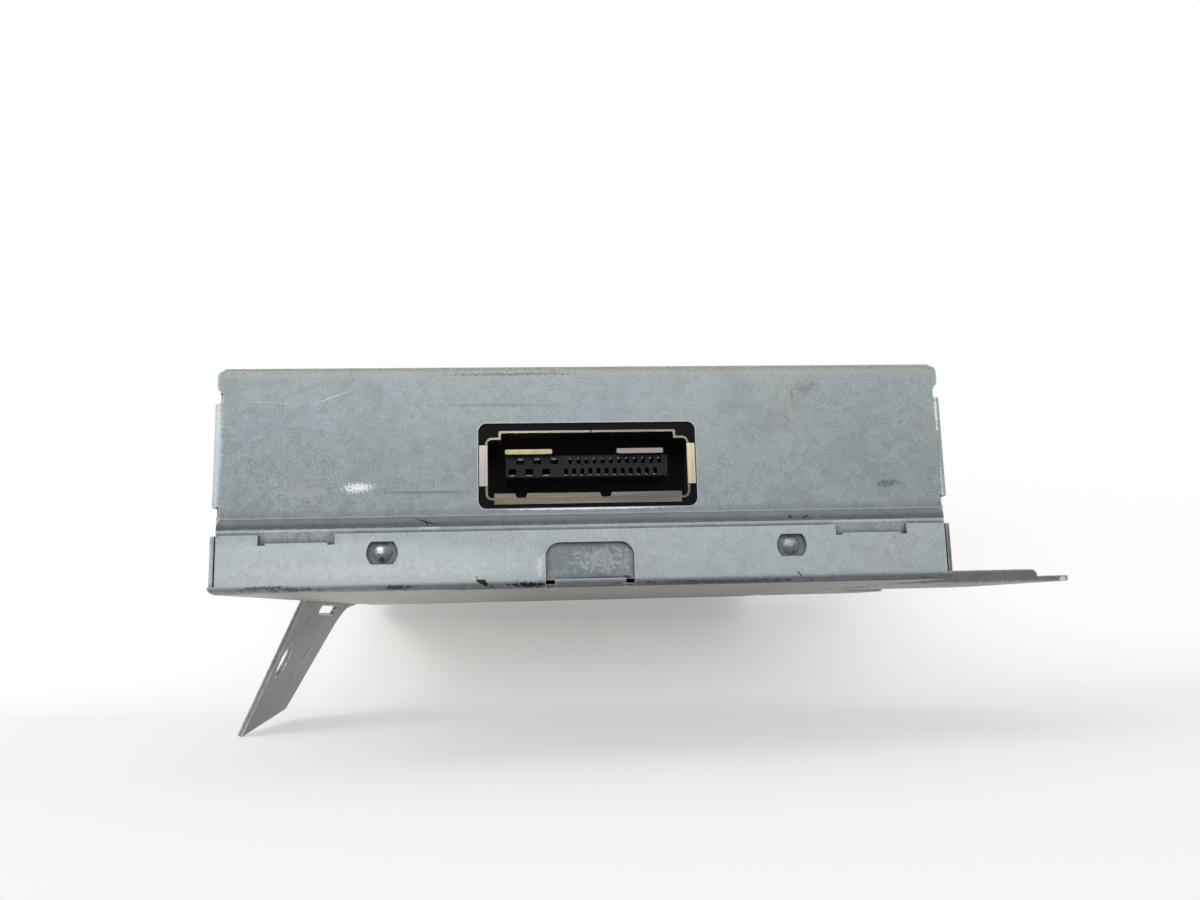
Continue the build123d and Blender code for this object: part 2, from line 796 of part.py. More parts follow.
def aerial_socket():
    """Aerial socket: a barrel through the rear wall, with a collar inside the wall."""
    start = rear - tuner_to_wall
    barrel = rod((aerial_x, start, aerial_z), aerial_radius, tuner_to_wall + aerial_stick_out, "Y")
    collar = rod((aerial_x, inner_back - seat_gap, aerial_z), aerial_flange, -3 * sheet, "Y")
    bore = rod((aerial_x, start + 4 * sheet, aerial_z), aerial_bore, tuner_to_wall + aerial_stick_out, "Y")
    return barrel + collar - bore


def aerial_contact():
    start = rear - tuner_to_wall + 4 * sheet
    pin = rod((aerial_x, start, aerial_z), aerial_pin, tuner_to_wall, "Y")
    return fillet(pin.edges().group_by(Axis.Y)[-1], aerial_pin * 0.8)


def sink_face():
    """X of the heat sink's face that carries the amplifier."""
    return -case_half + sheet + fin_reach + sink_plate


def sink_screw_spots():
    """Y of the screws through the side wall, in line with the outer fins."""
    pitch = (sink_length - fin_block()) / (fin_count - 1)
    return [along(sink_start + fin_block() / 2 + step * pitch) for step in (0, fin_count - 1)]


def fin_block():
    """Width of the two outer fins, thick enough for a screw."""
    return 2.4 * small_thread


def sink_screw_z():
    return board_top + sink_height * 0.75


def heat_sink():
    """A finned extrusion against the left side wall, with thick end fins for its screws."""
    wall = -case_half + sheet
    y = (along(sink_start), along(sink_start + sink_length))
    sink = block((sink_face() - sink_plate, sink_face()), y, (board_top, board_top + sink_height))
    pitch = (sink_length - fin_block()) / (fin_count - 1)
    for step in range(fin_count):
        thick = fin_block() if step in (0, fin_count - 1) else fin_thick
        middle = y[0] + fin_block() / 2 + step * pitch
        sink += block((wall, sink_face() - sink_plate), (middle - thick / 2, middle + thick / 2),
                      (board_top, board_top + sink_height))
    for spot in sink_screw_spots():
        sink -= rod((wall - 1, spot, sink_screw_z()), small_thread / 2, fin_reach * 0.8, "X")
    for spot in clamp_screw_spots():
        sink -= rod((sink_face() + 1, spot, amp_middle_z()), small_thread / 2, -sink_plate - 1.5, "X")
    return sink


def amp_middle_y():
    return along(sink_start + sink_length / 2)


def amp_middle_z():
    return board_top + amp_lift + amp_size[2] / 2


def amplifier():
    """Power amplifier chip upright against the heat sink, on a row of legs."""
    x = sink_face()
    y = amp_middle_y()
    body = block((x, x + amp_size[0]), (y - amp_size[1] / 2, y + amp_size[1] / 2),
                 (board_top + amp_lift, board_top + amp_lift + amp_size[2]))
    for step in range(amp_legs):
        leg_y = y + (step - (amp_legs - 1) / 2) * amp_leg_pitch
        deep = amp_size[0] * (0.35 if step % 2 else 0.75)
        body += centred(x + deep, leg_y, board_top, (amp_leg, amp_leg, amp_lift))
    return body


def clamp_screw_spots():
    reach = amp_size[1] / 2 + seat_gap + clamp_sheet + clamp_foot / 2
    return [amp_middle_y() - reach, amp_middle_y() + reach]


def clamp_spring():
    """A hat-shaped spring that presses the chip on the heat sink."""
    y = amp_middle_y()
    x = sink_face()
    z = (amp_middle_z() - clamp_width / 2, amp_middle_z() + clamp_width / 2)
    inside = amp_size[1] / 2 + seat_gap
    outside = inside + clamp_sheet
    hat = block((x, x + amp_size[0] + clamp_sheet), (y - outside, y + outside), z)
    hat -= block((x - 1, x + amp_size[0]), (y - inside, y + inside), (z[0] - 1, z[1] + 1))
    for side in (-1, 1):
        hat += block((x, x + clamp_sheet), (y + side * inside, y + side * (outside + clamp_foot)), z)
    for spot in clamp_screw_spots():
        hat -= rod((x - 1, spot, amp_middle_z()), small_thread / 2 + lap_gap, clamp_sheet + 2, "X")
    return hat


# Screws

def bracket_screws():
    length = bracket_sheet + 2 * sheet + lap_gap + case_thread
    return [screw((side * (half + bracket_sheet), y, leg_screw_z), (-side, 0, 0), case_thread, length)
            for side, y in bracket_screw_spots()]


def cover_screws():
    length = joggle + 2 * sheet + small_thread
    return [screw((x, rear, snap_z), (0, -1, 0), small_thread, length) for x in (-snap_x, snap_x)]


def board_screws():
    length = board_sheet + 2 * sheet
    return [screw((x, y, board_top), (0, 0, -1), small_thread, length) for x, y in lug_spots()]


def sink_screws():
    length = sheet + fin_reach * 0.5
    return [screw((-case_half, y, sink_screw_z()), (1, 0, 0), small_thread, length) for y in sink_screw_spots()]


def clamp_screws():
    length = clamp_sheet + sink_plate - 1
    return [screw((sink_face() + clamp_sheet, y, amp_middle_z()), (-1, 0, 0), small_thread, length)
            for y in clamp_screw_spots()]


def main():
    os.makedirs("parts", exist_ok=True)
    save("upper_case", upper_case())
    save("bottom_cover", bottom_cover())
    save("left_bracket", left_bracket())
    save("right_bracket", right_bracket())
    save("socket_body", socket_body())
    save("socket_shield", shield())
    save("shield_spring_clips", spring_clips())
    save("key_bars", key_bars())
    save("contact_block", contact_block())
    save("power_contacts", contacts(power_cavity))
    save("signal_contacts", contacts(signal_cavity))
    save("main_board", main_board())
    save("filter_capacitors", placed(capacitor(filter_cap_size, crimp_height), filter_cap_places))
    save("small_capacitors", placed(capacitor(small_cap_size), small_cap_places))
    save("choke_core", choke_core())
    save("choke_winding", choke_winding())
    save("main_processor", chip(main_chip, main_chip_place))
    save("sound_processor", chip(sound_chip, sound_chip_place))
    save("memory_chip", chip(memory_chip, memory_chip_place))
    save("crystal", fillet(centred(crystal_place[0], along(crystal_place[1]), board_top, crystal_size)
                           .edges().filter_by(Axis.Z), crystal_size[1] * 0.45))
    save("voltage_regulator", regulator())
    save("fuse_holder", fuse_holder())
    save("blade_fuse", blade_fuse())
    save("diodes", [diode(place) for place in diode_places])
    save("tuner_can", tuner_can())
    save("aerial_socket", aerial_socket())
    save("aerial_contact", aerial_contact())
    save("heat_sink", heat_sink())
    save("power_amplifier", amplifier())
    save("clamp_spring", clamp_spring())
    save("bracket_screws", bracket_screws())
    save("cover_screws", cover_screws())
    save("board_screws", board_screws())
    save("heat_sink_screws", sink_screws())
    save("clamp_screws", clamp_screws())


main()
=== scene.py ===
from math import cos, pi, radians, sin

import bpy
from mathutils import Matrix, Vector


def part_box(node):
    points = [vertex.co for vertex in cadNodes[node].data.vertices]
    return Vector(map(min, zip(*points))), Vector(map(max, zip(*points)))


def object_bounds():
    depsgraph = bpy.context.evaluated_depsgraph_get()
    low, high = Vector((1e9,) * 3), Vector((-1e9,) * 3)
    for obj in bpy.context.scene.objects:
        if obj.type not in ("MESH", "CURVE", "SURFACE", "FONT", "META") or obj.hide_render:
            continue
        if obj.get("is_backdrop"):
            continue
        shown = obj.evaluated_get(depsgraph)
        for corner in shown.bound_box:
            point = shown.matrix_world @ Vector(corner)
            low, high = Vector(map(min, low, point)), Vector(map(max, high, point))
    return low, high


# A car head unit box: zinc-coated sheet steel round a shielded docking socket, seen on its socket end.
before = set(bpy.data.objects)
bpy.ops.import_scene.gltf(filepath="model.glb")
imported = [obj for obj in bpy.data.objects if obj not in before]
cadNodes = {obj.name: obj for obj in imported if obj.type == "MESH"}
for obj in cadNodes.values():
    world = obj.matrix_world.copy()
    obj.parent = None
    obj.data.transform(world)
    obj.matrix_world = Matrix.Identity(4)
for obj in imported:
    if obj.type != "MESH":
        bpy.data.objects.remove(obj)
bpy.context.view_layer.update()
scene = bpy.context.scene
scene.view_settings.view_transform = "Standard"
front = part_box("bottom_cover")[0].y
print("frame loaded:", len(cadNodes), "nodes")


# Camera, fitted to the edges of the socket end and the underside

cameraFit = {
    "place": (-0.01445, -0.36016, -0.00608),
    "tilt": -9.21,
    "turn": -4.10,
    "roll": -0.73,
    "lens": 30.15,
    "sensor": 36.0,
    "clip": (0.01, 50.0),
}


def makeCamera(fit):
    data = bpy.data.cameras.new("photoCamera")
    data.lens = fit["lens"]
    data.sensor_width = fit["sensor"]
    data.clip_start, data.clip_end = fit["clip"]
    camera = bpy.data.objects.new("photoCamera", data)
    scene.collection.objects.link(camera)
    toView = Matrix(((1, 0, 0), (0, 0, -1), (0, 1, 0)))  # right, down and forward of a level camera
    for axis, angle in (("X", fit["tilt"]), ("Y", fit["turn"]), ("Z", fit["roll"])):
        toView = Matrix.Rotation(radians(angle), 3, axis) @ toView
    columns = Matrix((toView[0], -toView[1], -toView[2])).transposed()
    camera.matrix_world = Matrix.Translation(fit["place"]) @ columns.to_4x4()
    scene.camera = camera


makeCamera(cameraFit)
print("camera placed")


# Short ways to place shader nodes

def addNode(tree, kind, inputs=None, **options):
    node = tree.nodes.new(kind)
    for option, value in options.items():
        setattr(node, option, value)
    for socket, value in (inputs or {}).items():
        if isinstance(value, bpy.types.NodeSocket):
            tree.links.new(value, node.inputs[socket])
        else:
            node.inputs[socket].default_value = value
    return node


def addMath(tree, operation, first, second=0.0, clamped=False):
    inputs = {0: first, 1: second}
    return addNode(tree, "ShaderNodeMath", inputs, operation=operation, use_clamp=clamped).outputs[0]


def multiply(tree, first, second, clamped=False):
    return addMath(tree, "MULTIPLY", first, second, clamped)


def addVectorMath(tree, operation, first, second=(0, 0, 0)):
    return addNode(tree, "ShaderNodeVectorMath", {0: first, 1: second}, operation=operation).outputs


def addShade(tree, colour, shade):
    return addNode(tree, "ShaderNodeVectorMath", {0: colour, "Scale": shade}, operation="SCALE").outputs[0]


def addRange(tree, value, low, high, lowOut=0.0, highOut=1.0, smooth=False):
    kind = "SMOOTHSTEP" if smooth else "LINEAR"
    inputs = {"Value": value, "From Min": low, "From Max": high, "To Min": lowOut, "To Max": highOut}
    return addNode(tree, "ShaderNodeMapRange", inputs, interpolation_type=kind).outputs["Result"]


def addNoise(tree, vector, scale, detail=2.0, rough=0.5):
    inputs = {"Vector": vector, "Scale": scale, "Detail": detail, "Roughness": rough}
    return addNode(tree, "ShaderNodeTexNoise", inputs).outputs[0]


def addStretch(tree, vector, scale, turn=(0, 0, 0)):
    inputs = {"Vector": vector, "Scale": scale, "Rotation": turn}
    return addNode(tree, "ShaderNodeMapping", inputs).outputs[0]


def addMix(tree, share, first, second):
    return addNode(tree, "ShaderNodeMix", {0: share, 6: first, 7: second}, data_type="RGBA").outputs[2]


def linkAll(tree, sockets, values):
    for label, value in values.items():
        tree.links.new(value, sockets[label])


def startGroup(name, inputs, outputs):
    group = bpy.data.node_groups.new(name, "ShaderNodeTree")
    for direction, sockets in (("INPUT", inputs), ("OUTPUT", outputs)):
        for label, kind in sockets.items():
            group.interface.new_socket(label, in_out=direction, socket_type=kind)
    given = group.nodes.new("NodeGroupInput").outputs
    wanted = group.nodes.new("NodeGroupOutput").inputs
    return group, given, wanted


def useGroup(tree, group, inputs):
    return addNode(tree, "ShaderNodeGroup", inputs, node_tree=group).outputs


vectorSocket = "NodeSocketVector"
floatSocket = "NodeSocketFloat"
colourSocket = "NodeSocketColor"


# Effects that several finishes share. A noise is given as scale, detail and roughness. Levels are the values
# between which an effect fades in.

noiseMiddle = 0.5
noiseSpan = (0.3, 0.7)

spangleLook = {
    "bend": (420.0, 1.0),
    "bendReach": 0.0011,
    "fine": (2100.0, 3.0, 0.8),
    "medium": (420.0, 3.0, 0.65),
    "cloud": (22.0, 2.0, 0.5),
    "weights": {"facet": 0.35, "fine": 3.6, "medium": 0.35, "cloud": 0.5},
    "hue": (34.0, 3.0, 0.6),
    "hueLevels": (0.4, 0.66),
    "facetHeight": 0.35,
}


def makeSpangle(look):
    group, given, wanted = startGroup(
        "zincSpangle",
        {"Vector": vectorSocket, "Grains": floatSocket, "Contrast": floatSocket, "Colour": colourSocket,
         "Warm Colour": colourSocket},
        {"Colour": colourSocket, "Shade": floatSocket, "Height": floatSocket})
    place = given["Vector"]
    scale, detail = look["bend"]
    bend = {"Vector": place, "Scale": scale, "Detail": detail}
    wobble = addNode(group, "ShaderNodeTexNoise", bend).outputs["Color"]
    bent = addVectorMath(group, "ADD", place, addShade(group, wobble, look["bendReach"]))[0]
    cells = addNode(group, "ShaderNodeTexVoronoi", {"Vector": bent, "Scale": given["Grains"]})
    grains = {"facet": addNode(group, "ShaderNodeSeparateColor", {0: cells.outputs["Color"]}).outputs[0]}
    for name in ("fine", "medium", "cloud"):
        grains[name] = addNoise(group, place, *look[name])
    total = 0.0
    for name, weight in look["weights"].items():
        change = multiply(group, addMath(group, "SUBTRACT", grains[name], noiseMiddle), weight)
        total = addMath(group, "ADD", change, total)
    shade = addMath(group, "ADD", multiply(group, total, given["Contrast"]), 1.0)
    hue = addRange(group, addNoise(group, place, *look["hue"]), *look["hueLevels"], smooth=True)
    colour = addShade(group, addMix(group, hue, given["Colour"], given["Warm Colour"]), shade)
    height = addMath(group, "ADD", multiply(group, grains["facet"], look["facetHeight"]), grains["fine"])
    linkAll(group, wanted, {"Colour": colour, "Shade": shade, "Height": height})
    return group


# Worn edges, found with the bevel normal, for bright bare metal; on the steel they are also painted
# highlights along the edges.
wearAndHighlightLook = {
    "samples": 4,
    "edgeLevels": (0.998, 0.90),
    "breaks": (900.0, 4.0, 0.7),
    "breakLevels": (0.34, 0.6),
}


def makeEdgeWearAndHighlight(look):
    group, given, wanted = startGroup(
        "edgeWearAndHighlight", {"Vector": vectorSocket, "Width": floatSocket, "Amount": floatSocket},
        {"Mask": floatSocket})
    rounded = addNode(group, "ShaderNodeBevel", {"Radius": given["Width"]},
                      samples=look["samples"]).outputs[0]
    plain = addNode(group, "ShaderNodeNewGeometry").outputs["Normal"]
    match = addVectorMath(group, "DOT_PRODUCT", rounded, plain)["Value"]
    edge = addRange(group, match, *look["edgeLevels"])
    broken = addRange(group, addNoise(group, given["Vector"], *look["breaks"]), *look["breakLevels"])
    mask = multiply(group, multiply(group, edge, broken), given["Amount"], clamped=True)
    linkAll(group, wanted, {"Mask": mask})
    return group


scratchLook = {
    "stretch": (14, 900, 900),
    "lines": (1.0, 3.0, 0.7),
    "lineLevels": (0.66, 0.74),
    "patches": (34.0, 2.0),
    "patchLevels": (0.44, 0.62),
}


def makeHairScratches(look):
    group, given, wanted = startGroup(
        "hairScratches", {"Vector": vectorSocket, "Turn": vectorSocket, "Amount": floatSocket},
        {"Mask": floatSocket})
    stretched = addStretch(group, given["Vector"], look["stretch"], given["Turn"])
    thin = addRange(group, addNoise(group, stretched, *look["lines"]), *look["lineLevels"])
    patch = addRange(group, addNoise(group, given["Vector"], *look["patches"]), *look["patchLevels"])
    mask = multiply(group, multiply(group, thin, patch), given["Amount"], clamped=True)
    linkAll(group, wanted, {"Mask": mask})
    return group


# Patches and dark specks of dirt, and rare bright specks that are painted glints.
grimeAndGlintLook = {
    "patches": (42.0, 5.0, 0.65),
    "patchLevels": (0.78, 1.25),
    "speckDetail": (3.0, 0.8),
    "speckLevels": (0.69, 0.76),
    "glints": (1150.0, 2.0, 0.6),
    "glintShift": (0.31, 0.17, 0.43),
    "glintLevels": (0.715, 0.77),
}


def makeGrimeAndGlints(look):
    group, given, wanted = startGroup(
        "grimeAndGlints", {"Vector": vectorSocket, "Specks": floatSocket, "Cover": floatSocket},
        {"Mask": floatSocket, "Specks": floatSocket, "Glints": floatSocket})
    place = given["Vector"]
    clean = addMath(group, "SUBTRACT", 1.0, given["Cover"])
    levels = [multiply(group, clean, level) for level in look["patchLevels"]]
    mask = addRange(group, addNoise(group, place, *look["patches"]), *levels, smooth=True)
    specks = addNoise(group, place, given["Specks"], *look["speckDetail"])
    specks = addRange(group, specks, *look["speckLevels"])
    shifted = addVectorMath(group, "ADD", place, look["glintShift"])[0]
    glints = addRange(group, addNoise(group, shifted, *look["glints"]), *look["glintLevels"])
    linkAll(group, wanted, {"Mask": mask, "Specks": specks, "Glints": glints})
    return group


spotLook = {"detail": (4.0, 0.75), "reach": 4.0, "levels": (1.0, 0.55)}


def makeRaggedSpot(look):
    group, given, wanted = startGroup(
        "raggedSpot",
        {"Vector": vectorSocket, "Centre": vectorSocket, "Half Size": vectorSocket, "Turn": vectorSocket,
         "Ragged": floatSocket, "Grain": floatSocket},
        {"Mask": floatSocket})
    offset = addVectorMath(group, "SUBTRACT", given["Vector"], given["Centre"])[0]
    turned = addNode(group, "ShaderNodeVectorRotate", {"Vector": offset, "Rotation": given["Turn"]},
                     rotation_type="EULER_XYZ").outputs[0]
    scaled = addVectorMath(group, "DIVIDE", turned, given["Half Size"])[0]
    away = addVectorMath(group, "LENGTH", scaled)["Value"]
    noise = addNoise(group, given["Vector"], given["Grain"], *look["detail"])
    push = multiply(group, addMath(group, "SUBTRACT", noise, noiseMiddle),
                    multiply(group, given["Ragged"], look["reach"]))
    mask = addRange(group, addMath(group, "ADD", away, push), *look["levels"], smooth=True)
    linkAll(group, wanted, {"Mask": mask})
    return group


# Painted shade: recesses, creases and the gaps between parts, found by ambient occlusion, are darkened in the
# colour.
creviceLook = {
    "samples": 6,
    "openLevels": (0.95, 0.50),
    "uneven": (500.0, 3.0, 0.6),
    "unevenShare": (0.6, 1.2),
}


def makeCreviceShade(look):
    group, given, wanted = startGroup(
        "creviceShade", {"Vector": vectorSocket, "Reach": floatSocket, "Amount": floatSocket},
        {"Mask": floatSocket})
    openness = addNode(group, "ShaderNodeAmbientOcclusion", {"Distance": given["Reach"]},
                       samples=look["samples"]).outputs["AO"]
    closed = addRange(group, openness, *look["openLevels"])
    noise = addNoise(group, given["Vector"], *look["uneven"])
    uneven = addRange(group, noise, *noiseSpan, *look["unevenShare"])
    mask = multiply(group, multiply(group, closed, uneven), given["Amount"], clamped=True)
    linkAll(group, wanted, {"Mask": mask})
    return group


bandLook = {"detail": (4.0, 0.7)}


def makeLevelBand(look):
    group, given, wanted = startGroup(
        "levelBand",
        {"Vector": vectorSocket, "Low": floatSocket, "High": floatSocket, "Blur": floatSocket,
         "Ragged": floatSocket, "Grain": floatSocket},
        {"Mask": floatSocket})
    height = addNode(group, "ShaderNodeSeparateXYZ", {0: given["Vector"]}).outputs[2]
    noise = addNoise(group, given["Vector"], given["Grain"], *look["detail"])
    push = multiply(group, addMath(group, "SUBTRACT", noise, noiseMiddle), given["Ragged"])
    height = addMath(group, "ADD", height, push)
    masks = []
    for edge, outer, inner in (("Low", "SUBTRACT", "ADD"), ("High", "ADD", "SUBTRACT")):
        levels = [addMath(group, operation, given[edge], given["Blur"]) for operation in (outer, inner)]
        masks.append(addRange(group, height, *levels, smooth=True))
    linkAll(group, wanted, {"Mask": multiply(group, *masks)})
    return group


grainLook = {"detail": (3.0, 0.6), "cloud": (120.0, 3.0, 0.6)}


def makeMouldGrain(look):
    group, given, wanted = startGroup(
        "mouldGrain", {"Vector": vectorSocket, "Size": floatSocket, "Contrast": floatSocket},
        {"Shade": floatSocket, "Height": floatSocket})
    grain = addNoise(group, given["Vector"], given["Size"], *look["detail"])
    cloud = addNoise(group, given["Vector"], *look["cloud"])
    total = addMath(group, "SUBTRACT", addMath(group, "ADD", grain, cloud), 2 * noiseMiddle)
    shade = addMath(group, "ADD", multiply(group, total, given["Contrast"]), 1.0)
    linkAll(group, wanted, {"Shade": shade, "Height": grain})
    return group


zincSpangle = makeSpangle(spangleLook)
edgeWearAndHighlight = makeEdgeWearAndHighlight(wearAndHighlightLook)
hairScratches = makeHairScratches(scratchLook)
grimeAndGlints = makeGrimeAndGlints(grimeAndGlintLook)
raggedSpot = makeRaggedSpot(spotLook)
creviceShade = makeCreviceShade(creviceLook)
levelBand = makeLevelBand(bandLook)
mouldGrain = makeMouldGrain(grainLook)
print("shared effects built")


# Ways to build a finish. Shares say how strongly each effect shows in the finishes of one kind.

def startMaterial(name, constants):
    material = bpy.data.materials.new(name)
    material.use_nodes = True
    tree = material.node_tree
    shader = tree.nodes["Principled BSDF"]
    for socket, value in constants.items():
        shader.inputs[socket].default_value = value
    place = addNode(tree, "ShaderNodeTexCoord").outputs["Object"]
    return material, tree, shader, place


def opaque(colour):
    return (*colour, 1.0)


def addTint(tree, colour, mask, strength, tint):
    return addMix(tree, multiply(tree, mask, strength), colour, opaque(tint))


def addBump(tree, height, strength, depth):
    inputs = {"Height": height, "Strength": strength, "Distance": depth}
    return addNode(tree, "ShaderNodeBump", inputs).outputs[0]


steelShares = {
    "scratchTurn": (0, 0.06, 0.03),
    "crossingTurn": (0.4, 0.9, 1.1),
    "crossingAmount": 0.7,
    "dirt": 0.3,
    "specks": 0.75,
    "glints": 0.5,
    "creviceReach": 0.0016,
    "crevice": 0.85,
    "scratches": 0.5,
    "crossing": 0.35,
    "wearAndHighlight": 0.8,
    "wearPolish": 0.12,
    "dirtDulling": 0.08,
    "scratchDepth": 0.8,
    "bumpDepth": 0.00005,
}


def makeSheetSteel(name, look, marks, bands):
    share = steelShares
    material, tree, shader, place = startMaterial(name, {"Metallic": look["metallic"]})
    skin = useGroup(tree, zincSpangle, {
        "Vector": place, "Grains": look["grains"], "Contrast": look["contrast"],
        "Colour": opaque(look["colour"]), "Warm Colour": opaque(look["warm"])})
    wearAndHighlight = useGroup(tree, edgeWearAndHighlight, {"Vector": place, "Width": look["wearWidth"], "Amount": look["wearAndHighlight"]})[0]
    lines = useGroup(tree, hairScratches, {
        "Vector": place, "Turn": share["scratchTurn"], "Amount": look["scratches"]})[0]
    crossing = useGroup(tree, hairScratches, {
        "Vector": place, "Turn": share["crossingTurn"],
        "Amount": look["scratches"] * share["crossingAmount"]})[0]
    dirt = useGroup(tree, grimeAndGlints, {"Vector": place, "Specks": look["specks"], "Cover": look["dirt"]})
    colour = addTint(tree, skin["Colour"], dirt["Mask"], share["dirt"], look["dirtColour"])
    colour = addTint(tree, colour, dirt["Specks"], share["specks"], look["speckColour"])
    # Painted glints: rare bright specks
    colour = addTint(tree, colour, dirt["Glints"], share["glints"], look["bright"])
    for band in bands.values():
        level = useGroup(tree, levelBand, {
            "Vector": place, "Low": band["low"], "High": band["high"], "Blur": band["blur"],
            "Ragged": band["ragged"], "Grain": band["grain"]})[0]
        colour = addTint(tree, colour, level, band["strength"], band["colour"])
    for mark in marks.values():
        spot = useGroup(tree, raggedSpot, {
            "Vector": place, "Centre": mark["centre"], "Half Size": mark["half"],
            "Turn": (0, mark.get("tilt", 0.0), 0), "Ragged": mark["ragged"], "Grain": mark["grain"]})[0]
        colour = addTint(tree, colour, spot, mark["strength"], mark["colour"])
    # Painted shade in recesses, mixed towards the dark speck colour
    crevice = useGroup(tree, creviceShade, {
        "Vector": place, "Reach": share["creviceReach"], "Amount": share["crevice"]})[0]
    colour = addMix(tree, crevice, colour, opaque(look["speckColour"]))
    colour = addTint(tree, colour, lines, share["scratches"], look["bright"])
    colour = addTint(tree, colour, crossing, share["crossing"], look["dirtColour"])
    # Worn bright edges, which are also painted edge highlights
    colour = addTint(tree, colour, wearAndHighlight, share["wearAndHighlight"], look["bright"])
    rough = multiply(tree, skin["Shade"], look["roughness"])
    rough = addMath(tree, "SUBTRACT", rough, multiply(tree, wearAndHighlight, share["wearPolish"]))
    rough = addMath(tree, "ADD", rough, multiply(tree, dirt["Mask"], share["dirtDulling"]), clamped=True)
    height = addMath(tree, "SUBTRACT", skin["Height"], multiply(tree, lines, share["scratchDepth"]))
    bump = addBump(tree, height, look["bump"], share["bumpDepth"])
    linkAll(tree, shader.inputs, {"Base Color": colour, "Roughness": rough, "Normal": bump})
    return material


platingShares = {
    "metallic": 1.0,
    "drawn": (1.0, 3.0, 0.6),
    "drawnShade": (0.93, 1.04),
    "drawnRough": (0.88, 1.15),
    "patchDetail": (4.0, 0.65),
    "patchLevels": (0.36, 0.64),
    "patchAcross": 0.35,
    "wearAmount": 0.8,
    "specks": 1800.0,
    "dirt": 0.35,
    "wearAndHighlight": 0.6,
    "dirtDulling": 0.12,
    "bumpDepth": 0.00003,
}


def makePlating(name, look):
    share = platingShares
    material, tree, shader, place = startMaterial(name, {"Metallic": look.get("metallic", share["metallic"])})
    drawn = addNoise(tree, addStretch(tree, place, look["stretch"]), *share["drawn"])
    patch = addNoise(tree, place, look["patches"], *share["patchDetail"])
    patch = addRange(tree, patch, *share["patchLevels"], smooth=True)
    # A painted reflection: the colour changes from left to right
    if "across" in look:  # the second colour lies towards +X
        side = addRange(tree, addNode(tree, "ShaderNodeSeparateXYZ", {0: place}).outputs[0], *look["across"])
        patch = addMath(tree, "ADD", multiply(tree, patch, share["patchAcross"]), side, clamped=True)
    wearAndHighlight = useGroup(tree, edgeWearAndHighlight, {
        "Vector": place, "Width": look["wearWidth"], "Amount": share["wearAmount"]})[0]
    dirt = useGroup(tree, grimeAndGlints, {"Vector": place, "Specks": share["specks"], "Cover": look["dirt"]})["Mask"]
    colour = addMix(tree, patch, opaque(look["colour"]), opaque(look["second"]))
    colour = addShade(tree, colour, addRange(tree, drawn, *noiseSpan, *share["drawnShade"]))
    colour = addTint(tree, colour, dirt, share["dirt"], look["tarnish"])
    colour = addTint(tree, colour, wearAndHighlight, share["wearAndHighlight"], look["bright"])
    rough = addRange(tree, drawn, *noiseSpan, *(look["roughness"] * change for change in share["drawnRough"]))
    rough = addMath(tree, "ADD", rough, multiply(tree, dirt, share["dirtDulling"]))
    bump = addBump(tree, drawn, look["bump"], share["bumpDepth"])
    linkAll(tree, shader.inputs, {"Base Color": colour, "Roughness": rough, "Normal": bump})
    return material


mouldingShares = {
    "specular": 0.5,
    "clear": 0.0,
    "wearWidth": 0.0002,
    "wearAmount": 0.9,
    "specks": 2600.0,
    "dust": 0.12,
    "dustSpecks": 0.5,
    "wearAndHighlight": 0.35,
    "dustDulling": 0.15,
    "bumpDepth": 0.00003,
}


def makeMoulding(name, look):
    share = mouldingShares
    material, tree, shader, place = startMaterial(name, {
        "Specular IOR Level": look.get("specular", share["specular"]),
        "Transmission Weight": look.get("clear", share["clear"])})
    grain = useGroup(tree, mouldGrain, {"Vector": place, "Size": look["grain"], "Contrast": look["contrast"]})
    wearAndHighlight = useGroup(tree, edgeWearAndHighlight, {
        "Vector": place, "Width": share["wearWidth"], "Amount": share["wearAmount"]})[0]
    dust = useGroup(tree, grimeAndGlints, {"Vector": place, "Specks": share["specks"], "Cover": look["dust"]})
    colour = addShade(tree, look["colour"], grain["Shade"])
    colour = addTint(tree, colour, dust["Mask"], share["dust"], look["dustColour"])
    colour = addTint(tree, colour, dust["Specks"], share["dustSpecks"], look["dustColour"])
    colour = addTint(tree, colour, wearAndHighlight, share["wearAndHighlight"], look["edge"])
    rough = multiply(tree, grain["Shade"], look["roughness"])
    rough = addMath(tree, "ADD", rough, multiply(tree, dust["Mask"], share["dustDulling"]), clamped=True)
    bump = addBump(tree, grain["Height"], look["bump"], share["bumpDepth"])
    linkAll(tree, shader.inputs, {"Base Color": colour, "Roughness": rough, "Normal": bump})
    return material


boardLook = {
    "colour": (0.02, 0.14, 0.05),
    "track": (0.05, 0.26, 0.10),
    "edge": (0.5, 0.42, 0.22),
    "specular": 0.5,
    "laneScale": 240.0,
    "laneGap": 0.12,
    "routes": (70.0, 1.0),
    "routeLevels": (0.42, 0.5),
    "weave": (1500.0, 2.0),
    "weaveShade": (0.9, 1.1),
    "weaveRough": (0.24, 0.36),
    "weaveHeight": 0.2,
    "wearWidth": 0.0003,
    "wearAmount": 1.0,
    "bump": 0.5,
    "bumpDepth": 0.00004,
}


